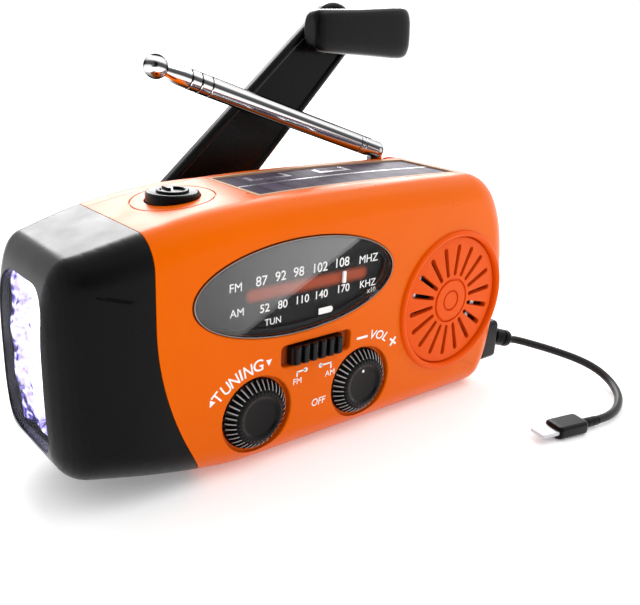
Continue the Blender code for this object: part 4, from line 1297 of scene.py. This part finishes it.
def ribbed_knob(name, centre, body, replaced, count=36, phase=0.0):
    """Knob with a flat disc and a conical skirt of narrow raised ribs."""
    y0 = FRONT_Y + 2.0 - GAP
    profile = (
        (-25.5, 0.0, 0.0),
        (-25.5, 5.0, 0.0),
        (-25.6, 5.6, 0.0),
        (-25.95, 6.0, 0.0),
        (-26.15, 6.3, 0.0),
        (-26.2, 6.7, 0.0),
        (-26.2, 7.3, 0.1),
        (-26.1, 7.6, 0.3),
        (-25.85, 8.1, 0.6),
        (-25.5, 8.6, 0.85),
        (-25.0, 9.2, 1.0),
        (-24.5, 9.7, 1.0),
        (-24.0, 10.1, 0.95),
        (-23.5, 10.45, 0.8),
        (-23.0, 10.68, 0.4),
        (y0, 10.7, 0.0),
        (y0, 3.0, 0.0),
        (-15.0, 3.0, 0.0),
        (-15.0, 0.0, 0.0),
    )
    wave = (0.0, 0.12, 0.62, 1.0, 1.0, 1.0, 0.62, 0.12)
    total = count * len(wave)
    bm = bmesh.new()
    rows = []
    for y, r, depth in profile:
        if r <= 0:
            rows.append([bm.verts.new(Vector((centre[0], y, centre[1])) * MM)])
            continue
        row = []
        for i in range(total):
            a = 2 * math.pi * (i + phase) / total
            pull = 1.45 * depth * wave[i % len(wave)]
            slope = 0.75 if r < 9.2 else 0.25
            rr, yy = r - pull * (1 - slope), y + pull * slope
            row.append(bm.verts.new(Vector((centre[0] + rr * math.cos(a), yy, centre[1] + rr * math.sin(a))) * MM))
        rows.append(row)
    for one, other in zip(rows, rows[1:]):
        for i in range(total):
            j = (i + 1) % total
            loop = [one[i % len(one)], one[j % len(one)], other[j % len(other)], other[i % len(other)]]
            corners = list(dict.fromkeys(loop))
            if len(corners) > 2:
                bm.faces.new(corners)
    knob = made(name, bm)
    # faces on the ridge tops get the pale painted-highlight material
    painted_highlight_faces = []
    for face in knob.data.polygons:
        u, w = face.center.x / MM - centre[0], face.center.z / MM - centre[1]
        r = math.hypot(u, w)
        turn_share = (math.atan2(w, u) / (2 * math.pi) * total - phase) % len(wave)
        painted_highlight_faces.append(1 if 8.0 < r < 10.35 and (turn_share < 0.75 or turn_share > len(wave) - 0.75) else 0)
    piece(knob, name, KNOB_BLACK, body, replaced, angle=40, weighted=False)
    knob.data.materials.append(RIB_PAINTED_HIGHLIGHT)
    for face, index in zip(knob.data.polygons, painted_highlight_faces):
        face.material_index = index


ribbed_knob("tuning_knob_ribbed", TUNING, "tuning", ["tuning_knob"])
ribbed_knob("volume_knob_ribbed", VOLUME, "volume", ["volume_knob"], phase=3)
dot = lathe([(-25.62, 0), (-25.62, 0.42), (-25.45, 0.5), (-25.4, 0)], VOLUME[0] - 0.2, VOLUME[1] + 4.1, "y", 20)
piece(dot, "volume_mark", WHITE_INK, "volume", ())

# ---------------------------------------------------------------- band slider


def build_slider():
    ribs, x0, x1 = 6, BAND_SLIDER[0], BAND_SLIDER[1]
    pitch = (x1 - x0) / ribs
    front_line = [(x0, -25.0)]
    for k in range(ribs):
        a = x0 + pitch * k
        for u, y in ((0.14, -25.3), (0.22, -26.2), (0.34, -26.4), (0.66, -26.4), (0.78, -26.2), (0.86, -25.3)):
            front_line.append((a + pitch * u, y))
    front_line.append((x1, -25.0))
    loops = []
    for z, k in ((24.9, 0.55), (25.05, 0.2), (25.4, 0.0), (30.0, 0.0), (30.35, 0.2), (30.5, 0.55)):
        mid = (x0 + x1) / 2
        row = [(mid + (x - mid) * (1 - 0.02 * k), y + k, z) for x, y in front_line]
        row += [(x1 - 0.02 * k, -23.0, z), (x0 + 0.02 * k, -23.0, z)]
        loops.append(row)
    slider = rings(loops)
    join(slider, box(-6.6, 1.6, -23.5, -18.2, 26.5, 28.9))
    return slider


piece(build_slider(), "band_slider_ribbed", GLOSS, "band", ["band_slider"], angle=28)
slot_floor = box(-14.2, -12.1, -22.35, -22.05, 24.9, 30.5)
slot_floor.data.transform(Matrix.Identity(4))
# thin sheets of the darker orange on the slot floor beside the slider: painted shade in the recess
piece(
    merged("slot", [prism(round_rect(BAND_SLOT[0] + 0.15, BAND_SLIDER[0] + 1.1, 24.6, 30.8, 0.4, 2), -22.5, -22.3), prism(round_rect(BAND_SLIDER[1] + 1.7, BAND_SLOT[1] - 0.15, 24.6, 30.8, 0.4, 2), -22.5, -22.3)]),
    "band_slot_painted_shade",
    SLOT,
    "case",
    (),
    weighted=False,
)
bpy.data.objects.remove(slot_floor, do_unlink=True)

# ---------------------------------------------------------------- speaker

bead = [(-23.4, 21.75), (-24.45, 21.75)]
for k in range(11):
    a = math.radians(18 * k)
    bead.append((-24.5 - 0.95 * math.sin(a) ** 0.8 if 0 < k < 10 else -24.4, 22.8 - 1.0 * math.cos(a)))
bead += [(-24.2, 23.85), (-23.4, 23.85)]
piece(lathe(bead, *SPEAKER, "y", 128), "speaker_ring", GRILLE, "case", (), angle=50)

grille = lathe(
    [
        (-24.0, 0.0),
        (-24.0, 2.95),
        (-23.35, 3.05),
        (-23.3, 3.5),
        (-24.1, 3.65),
        (-24.1, 6.75),
        (-23.35, 6.9),
        (-23.3, 7.45),
        (-24.0, 7.6),
        (-24.0, 21.0),
        (-23.8, 21.4),
        (-23.4, GRILLE_R),
        (-21.9, GRILLE_R),
        (-21.9, 0.0),
    ],
    *SPEAKER,
    "y",
    128,
)
slots = []
for i in range(18):
    a = math.radians(20 * i + 5)
    c, s = math.cos(a), math.sin(a)
    tip = [(18.2 + 0.9 * math.cos(math.radians(d)), 0.9 * math.sin(math.radians(d))) for d in range(-90, 91, 30)]
    tail = [(9.2 + 0.7 * math.cos(math.radians(d)), 0.7 * math.sin(math.radians(d))) for d in range(90, 271, 30)]
    slots.append(prism([(SPEAKER[0] + c * u - s * v, SPEAKER[1] + s * u + c * v) for u, v in tip + tail], -26, -20))
cut(grille, merged("slots", slots))
piece(grille, "speaker_grille_disc", GRILLE, "case", ["speaker_grille"])

# ---------------------------------------------------------------- torch button

button_profile = [(60.4, 0), (60.4, 2.6), (64.6, 2.6), (64.6, 8.6), (65.6, 8.6), (65.6, 7.3), (71.6, 7.3)]
for k in range(1, 7):
    a = math.radians(15 * k)
    button_profile.append((71.6 + 0.8 * math.sin(a), 6.5 + 0.8 * math.cos(a)))
button_profile += [(72.25, 6.1), (72.15, 4.0), (72.1, 0)]
button = lathe(button_profile, *TORCH_BUTTON, "z", 96)
piece(button, "torch_button_cap", BLACK, "torch_push", ["torch_button"])
symbol = []
arc_rows = []
for k in range(41):
    a = math.radians(122 + 296 * k / 40)
    c, s = math.cos(a), math.sin(a)
    row = []
    for r, z in ((3.35, 71.9), (3.4, 72.62), (3.6, 72.78), (4.2, 72.78), (4.4, 72.62), (4.45, 71.9)):
        row.append((TORCH_BUTTON[0] + r * c, TORCH_BUTTON[1] + r * s, z))
    arc_rows.append(row)
symbol.append(rings(arc_rows))
bar = []
for z, k in ((71.9, 0.0), (72.62, 0.0), (72.78, 0.12)):
    bar.append(
        [(TORCH_BUTTON[0] + u, TORCH_BUTTON[1] + v, z) for u, v in round_rect(-0.5 + k, 0.5 - k, 1.4 + k, 5.2 - k, 0.3, 3)]
    )
symbol.append(rings(bar))
piece(merged("symbol", symbol), "torch_button_symbol", BLACK, "torch_push", ())

# ---------------------------------------------------------------- solar panel

bezel = box(PANEL[0], PANEL[1], PANEL[2], PANEL[3], 60, 90)
cut(bezel, box(PANEL[0] + 1.1, PANEL[1] - 1.1, PANEL[2] + 1.1, PANEL[3] - 1.1, 50, 95))
keep(bezel, case_solid(0.0, STEPS, FINE))
cut(bezel, case_solid(1.7, STEPS, FINE))
piece(bezel, "solar_bezel_frame", BEZEL, "case", ["solar_bezel"])
panel = box(PANEL[0] + 1.15, PANEL[1] - 1.15, PANEL[2] + 1.15, PANEL[3] - 1.15, 60, 90)
keep(panel, case_solid(0.55, STEPS, FINE))
cut(panel, case_solid(1.7, STEPS, FINE))
piece(panel, "solar_panel_cells", SOLAR, "case", ["solar_panel"])


def surface_strip(x0, x1, y0, y1, inset=0.55, thick=0.07):
    """A thin strip lying on the panel, following the top's curve along X."""
    count = max(1, round((x1 - x0) / 2.5))
    rows = []
    for k in range(count + 1):
        x = x0 + (x1 - x0) * k / count
        z = top_z(x) - inset
        rows.append([(x, y0, z - 0.05), (x, y1, z - 0.05), (x, y1, z + thick), (x, y0, z + thick)])
    return rings(rows)


strips = [surface_strip(-15.3, 61.9, -1.95, -1.05)]
for x0, x1 in ((-7.0, 8.0), (19.0, 32.0)):
    strips += [
        surface_strip(x0, x1, 3.1, 4.5, thick=0.09),
        surface_strip(x0 + 0.2, x0 + 1.6, 4.4, 7.6, thick=0.1),
        surface_strip(x1 - 1.6, x1 - 0.2, 4.4, 8.4, thick=0.11),
    ]
piece(merged("strips", strips), "solar_busbars", CELL_METAL, "case", (), weighted=False)

# ---------------------------------------------------------------- antenna

ant_x = Vector((-math.cos(ANT_TILT), 0, math.sin(ANT_TILT)))
ant_y = Vector((0, 1, 0))


def turned_piece(profile, name, body, replaced, count=48, material=CHROME, cutters=()):
    solid = lathe(profile, 0, 0, "x", count)
    for tool in cutters:
        cut(solid, tool)
    in_frame(solid, ANT, ant_x, ant_y)
    return piece(solid, name, material, body, replaced, angle=30)


swivel_top = [(65.4, 0), (65.4, 4.4), (69.9, 4.4), (70.2, 4.3), (70.4, 4.0), (70.4, 0)]
swivel = lathe(swivel_top, ANT.x, ANT.y, "z", 48)
tongue = [(ANT.x - 2.7, 69.0), (ANT.x + 2.7, 69.0), (ANT.x + 2.7, ANT.z)]
tongue += [(ANT.x + 2.7 * math.cos(math.radians(a)), ANT.z + 2.7 * math.sin(math.radians(a))) for a in range(10, 180, 10)]
tongue += [(ANT.x - 2.7, ANT.z)]
join(swivel, prism(tongue, ANT.y - 1.0, ANT.y + 1.0))
cut(swivel, cylinder(ANT.x, ANT.z, 1.15, 0, 40, "y", 24))
piece(swivel, "antenna_swivel_base", CHROME, "antenna_base", ["antenna_swivel"])
pin = lathe([(-3.05, 0), (-3.05, 0.7), (-2.95, 0.85), (2.95, 0.85), (3.05, 0.7), (3.05, 0)], 0, 0, "y", 24)
in_frame(pin, ANT, ant_x, ant_y)
piece(pin, "antenna_hinge_pin", STEEL, "antenna_base", ["antenna_pin"])
dome_profile = [(-ANT_R, 0)] + [
    (-ANT_R * math.cos(math.radians(a)), ANT_R * math.sin(math.radians(a))) for a in range(15, 91, 15)
]
turned_piece(
    dome_profile
    + [(6.6, ANT_R), (6.75, 2.95), (6.9, 2.75), (7.4, 2.75), (7.55, 2.95), (7.7, ANT_R), (8.2, ANT_R), (8.3, 2.9), (8.45, 2.9), (8.55, ANT_R), (9.1, ANT_R), (9.2, 3.0), (9.2, 0)],
    "antenna_knuckle_turned",
    "antenna_lower",
    ["antenna_knuckle"],
    cutters=(box(-5, 4.3, -1.35, 1.35, -5, 5), cylinder(0, 0, 1.15, -9, 9, "y", 24)),
)
turned_piece(
    [(9.5, 2.7), (9.5, 2.98), (9.65, ANT_R), (71.45, ANT_R), (71.6, 2.98), (71.6, 2.7)],
    "antenna_tube_first",
    "antenna_lower",
    ["antenna_tube_1"],
)
turned_piece(
    [(11.0, 1.95), (11.0, 2.4), (71.9, 2.4), (71.9, 2.95), (72.05, 3.05), (75.1, 3.05), (75.3, 2.9), (75.3, 1.95)],
    "antenna_tube_second",
    "antenna_second",
    ["antenna_tube_2"],
)
turned_piece(
    [(12.5, 1.25), (12.5, 1.65), (75.6, 1.65), (75.6, 2.85), (75.75, 2.95), (78.5, 2.95), (78.7, 2.8), (78.7, 1.25)],
    "antenna_tube_third",
    "antenna_third",
    ["antenna_tube_3"],
)
ball = [(ANT_TIP + 3.4 * math.cos(math.radians(a)), 3.4 * math.sin(math.radians(a))) for a in range(148, 0, -9)]
turned_piece(
    [(14.0, 0), (14.0, 0.95), (79.0, 0.95), (79.0, 2.75), (79.15, 2.85), (81.6, 2.8), (83.2, 2.6), (84.6, 2.2), (85.6, 1.95), (86.2, 1.85)]
    + ball
    + [(ANT_TIP + 3.4, 0)],
    "antenna_tip_ball",
    "antenna_tip",
    ["antenna_tube_4"],
)

# ---------------------------------------------------------------- crank

ALONG = Vector((math.cos(CRANK_ANGLE), 0, math.sin(CRANK_ANGLE)))
ACROSS = Vector((-math.sin(CRANK_ANGLE), 0, math.cos(CRANK_ANGLE)))
OUT = Vector((0, 1, 0))
tilted_along = ALONG * math.cos(CRANK_TILT) + OUT * math.sin(CRANK_TILT)
tilted_out = OUT * math.cos(CRANK_TILT) - ALONG * math.sin(CRANK_TILT)

hub = lathe(
    [(14.6, 0), (14.6, 2.7), (18.2, 2.7), (18.2, 4.0), (20.6, 4.0), (20.6, HUB_R), (24.0, HUB_R), (24.5, HUB_R - 0.25), (24.8, HUB_R - 0.8), (24.8, 0)],
    HUB.x,
    HUB.z,
    "y",
    72,
)
for side in (-1, 1):
    a, b = sorted((side * 6.6, side * 9.6))
    ear = rings(
        [
            [
                HUB + ALONG * u + OUT * w + ACROSS * t
                for u, w in [(-4.5, -5.0), (4.5, -5.0), (3.6, 0)]
                + [(3.6 * math.cos(math.radians(d)), 3.6 * math.sin(math.radians(d))) for d in range(12, 180, 12)]
                + [(-3.6, 0)]
            ]
            for t in (a, b)
        ]
    )
    join(hub, ear)
cut(
    hub,
    rings(
        [
            [
                HUB + ALONG * (1.7 * math.cos(d)) + OUT * (1.7 * math.sin(d)) + ACROSS * t
                for d in [math.radians(15 * k) for k in range(24)]
            ]
            for t in (-20, 20)
        ]
    ),
)
piece(hub, "crank_hub_disc", BLACK, "crank_rotor", ["crank_hub"])


def blade_outline():
    """Outline of the arm, along and across it, with outward normals."""
    side = [
        (15.7 + 3.7 * math.cos(math.radians(d)), -9.4 + 3.7 * math.sin(math.radians(d)))
        for d in range(180, 271, 10)
    ]
    side += [(40.0, -12.25), (70.0, -11.25), (100.0, -10.25)]
    tip = [
        (CRANK_R + 9.6 * math.cos(math.radians(d)), 9.6 * math.sin(math.radians(d)))
        for d in range(-82, 83, 4)
    ]
    points = side + tip + [(u, -v) for u, v in reversed(side)]
    result = []
    count = len(points)
    for i, (u, v) in enumerate(points):
        pu, pv = points[i - 1]
        nu, nv = points[(i + 1) % count]
        way = Vector((nu - pu, nv - pv)).normalized()
        result.append((Vector((u, v)), Vector((way.y, -way.x))))
    return result


blade = blade_outline()


def blade_loop(y, inset):
    return [(p.x - n.x * inset, y, p.y - n.y * inset) for p, n in blade]


T = ARM_HALF_T
arm_loops = [blade_loop(T - 0.9, 3.3), blade_loop(T - 0.85, 2.8), blade_loop(T - 0.15, 2.3), blade_loop(T, 1.9)]
for k in range(1, 6):
    a = math.radians(18 * k)
    arm_loops.append(blade_loop(T - 1.4 * (1 - math.cos(a)), 1.4 - 1.4 * math.sin(a)))
for k in range(5, -1, -1):
    a = math.radians(18 * k)
    arm_loops.append(blade_loop(-T + 1.4 * (1 - math.cos(a)), 1.4 - 1.4 * math.sin(a)))
arm_loops += [blade_loop(-T, 2.0), blade_loop(-T + 0.2, 2.35), blade_loop(-T + 0.75, 2.6), blade_loop(-T + 0.8, 3.0)]
arm = rings(arm_loops)
root = [(3.2 * math.cos(math.radians(d)), 3.2 * math.sin(math.radians(d))) for d in range(90, 271, 10)]
join(arm, rings([[(u, w, t) for u, w in root + [(16, -3.2), (16, 3.2)]] for t in (-6.2, 6.2)]))
boss = lathe([(-T, 0), (-T, 6.4), (-T + 0.5, 6.8), (T - 0.5, 6.8), (T, 6.4), (T, 0)], 0, 0, "y", 48)
boss.data.transform(Matrix.Translation(Vector((CRANK_R, 0, 0)) * MM))
join(arm, boss)
cut(arm, cylinder(0, 0, 1.7, -20, 20, "z", 24), cylinder(CRANK_R, 0, 2.9, -10, 10, "y", 32))
in_frame(arm, HUB, tilted_along, tilted_out)
piece(arm, "crank_arm_blade", BLACK, "crank_swing", ["crank_arm"], angle=30)


def grip_section(x, y0, y1, half, power, count=40):
    """Rounded section of the grip: a superellipse, flatter for a higher power."""
    loop = []
    for i in range(count):
        a = 2 * math.pi * i / count
        c, s = math.cos(a), math.sin(a)
        u = math.copysign(abs(c) ** (2 / power), c) * (y1 - y0) / 2 + (y0 + y1) / 2
        v = math.copysign(abs(s) ** (2 / power), s) * half
        loop.append((x, u, v))
    return loop


def build_grip():
    y_low, y_high = -ARM_HALF_T - 8.4, -ARM_HALF_T - 0.4
    stations = (
        (-10.5, 1.9, 3.4, 2.6),
        (-10.3, 1.25, 4.4, 2.8),
        (-9.8, 0.65, 5.2, 3.0),
        (-8.8, 0.2, 5.75, 3.3),
        (-7.0, 0.0, 6.0, 3.6),
        (-3.0, 0.0, 6.15, 3.8),
        (2.0, 0.0, 6.3, 3.9),
        (8.0, 0.05, 6.5, 4.0),
        (14.0, 0.1, 6.8, 4.1),
        (20.0, 0.1, 7.15, 4.2),
        (25.0, 0.05, 7.45, 4.2),
        (28.5, 0.0, 7.6, 4.1),
        (30.8, 0.1, 7.5, 3.8),
        (32.3, 0.45, 7.1, 3.5),
        (33.2, 0.95, 6.4, 3.2),
        (33.65, 1.6, 5.5, 2.9),
        (33.8, 2.4, 4.2, 2.6),
    )
    return rings(
        [
            grip_section(-15.6 + (x + 10.5) * 46.0 / 44.3, y_low + k, y_high - k * 0.6, half * 1.15, power)
            for x, k, half, power in stations
        ]
    )


grip = build_grip()
cut(grip, cylinder(0, 0, 2.9, -10.0, 0, "y", 32))
spin = Matrix.Rotation(CRANK_ANGLE, 4, "Y")
grip.data.transform(Matrix.Translation(Vector((CRANK_R, 0, 0)) * MM) @ spin)
in_frame(grip, HUB, tilted_along, tilted_out)
piece(grip, "crank_grip_moulded", BLACK, "crank_grip", ["crank_knob"], angle=40)
knob_pin = lathe(
    [(-9.6, 0), (-9.6, 2.3), (-9.4, 2.5), (T + 0.3, 2.5), (T + 0.3, 4.2), (T + 0.8, 4.15), (T + 1.1, 3.7), (T + 1.1, 1.2), (T + 0.7, 0.9), (T + 0.7, 0)],
    0,
    0,
    "y",
    40,
)
knob_pin.data.transform(Matrix.Translation(Vector((CRANK_R, 0, 0)) * MM))
in_frame(knob_pin, HUB, tilted_along, tilted_out)
piece(knob_pin, "crank_grip_pin", STEEL, "crank_swing", ["crank_knob_pin"])

# ---------------------------------------------------------------- plug, boot and far connector


def build_plug():
    loops = []
    for x, k, r in (
        (80.2, 0.4, 1.3),
        (80.4, 0.1, 1.6),
        (80.7, 0.0, 1.7),
        (86.5, 0.0, 1.7),
        (87.2, 0.12, 1.7),
        (87.7, 0.4, 1.6),
        (88.0, 0.8, 1.5),
        (88.2, 1.4, 1.3),
    ):
        loops.append(
            [(x, u, v) for u, v in round_rect(PLUG_Y - 3.9 + k, PLUG_Y + 3.9 - k, PLUG_Z - 7.1 + k, PLUG_Z + 7.1 - k, r, 6)]
        )
    plug = rings(loops)
    return join(plug, box(67.6, 81.1, PLUG_Y - 2.1, PLUG_Y + 2.1, PLUG_Z - 5.6, PLUG_Z + 5.6))


plug = piece(build_plug(), "usb_plug_moulded", SATIN, "case", ["usb_plug"])
boot = lathe(
    [
        (0.1, 0),
        (0.1, 2.1),
        (1.3, 2.2),
        (1.35, 2.95),
        (1.6, 3.12),
        (4.8, 3.12),
        (5.0, 2.95),
        (5.1, 2.7),
        (5.4, 2.7),
        (5.5, 2.95),
        (5.8, 3.12),
        (7.2, 3.1),
        (7.8, 2.85),
        (8.3, 2.4),
        (8.7, 1.95),
        (9.0, 1.75),
        (9.0, 0),
    ],
    0,
    0,
    "x",
    40,
)
boot_dir = Vector((0.909, -0.321, -0.267)).normalized()
in_frame(boot, (88.4, PLUG_Y, PLUG_Z), boot_dir, Vector((-boot_dir.y, boot_dir.x, 0)))
boot = piece(boot, "plug_boot_moulded", SATIN, "case", ["plug_boot"])
lead_dir = Vector((-0.978, 0.21, 0)).normalized()
lead_side = Vector((-lead_dir.y, lead_dir.x, 0))
LEAD_END = (82.7, -67.3, -2.3)
sleeve = lathe(
    [(0.35, 0), (0.35, 1.55), (2.4, 1.6), (2.5, 1.5), (2.8, 1.5), (2.9, 1.62), (4.6, 1.64), (4.7, 1.52), (5.0, 1.52), (5.1, 1.65), (7.0, 1.65), (7.0, 0)],
    0,
    0,
    "x",
    32,
)
in_frame(sleeve, LEAD_END, lead_dir, lead_side)
sleeve = piece(sleeve, "lead_sleeve_ribbed", SATIN, "case", ["lead_boot"])
shell_loops = []
for x, k in ((7.3, 0.9), (7.45, 0.55), (7.8, 0.2), (8.4, 0.0), (17.9, 0.0), (18.6, 0.12), (19.0, 0.4), (19.2, 0.8)):
    shell_loops.append([(x, u, v) for u, v in round_rect(-3.9 + k, 3.9 - k, -1.65, 2.6 - k * 0.5, 1.2, 5)])
shell = rings(shell_loops)
in_frame(shell, LEAD_END, lead_dir, lead_side)
shell = piece(shell, "lead_connector_body", SATIN, "case", ["lead_connector"])
blade_tip = rings(
    [
        [(x, u, v) for u, v in round_rect(-3.2 + k, 3.2 - k, -0.3 + k * 0.5, 1.3 - k * 0.5, 0.6, 4)]
        for x, k in ((18.4, 0.0), (25.1, 0.0), (25.5, 0.2), (25.6, 0.5))
    ]
)
in_frame(blade_tip, LEAD_END, lead_dir, lead_side)
blade_tip = piece(blade_tip, "lead_connector_tip", STEEL, "case", ())

# ---------------------------------------------------------------- carried-over CAD nodes

CARRIED = {
    "led_board": BOARD,
    "tuning_capacitor": NYLON,
    "volume_potentiometer": STEEL,
    "band_switch": STEEL,
    "speaker_basket": STEEL,
    "speaker_cone": CONE,
    "speaker_magnet": STEEL,
    "torch_switch": STEEL,
    "main_board": BOARD,
    "battery_cell": WRAP,
    "ferrite_rod": FERRITE,
    "battery_door": ORANGE,
    "battery_door_screw": STEEL,
    "case_screw_1": STEEL,
    "case_screw_2": STEEL,
    "case_screw_3": STEEL,
    "case_screw_4": STEEL,
    "crank_hinge_pin": STEEL,
    "crank_gear": NYLON,
    "idler_gear": NYLON,
    "generator_pinion": BRASS,
    "gearbox_plate": STEEL,
    "generator_body": STEEL,
    "usb_socket": STEEL,
}
for name, material in CARRIED.items():
    obj = NODES[name]
    if not obj.material_slots:
        obj.data.materials.append(material)
    for slot in obj.material_slots:
        slot.material = material
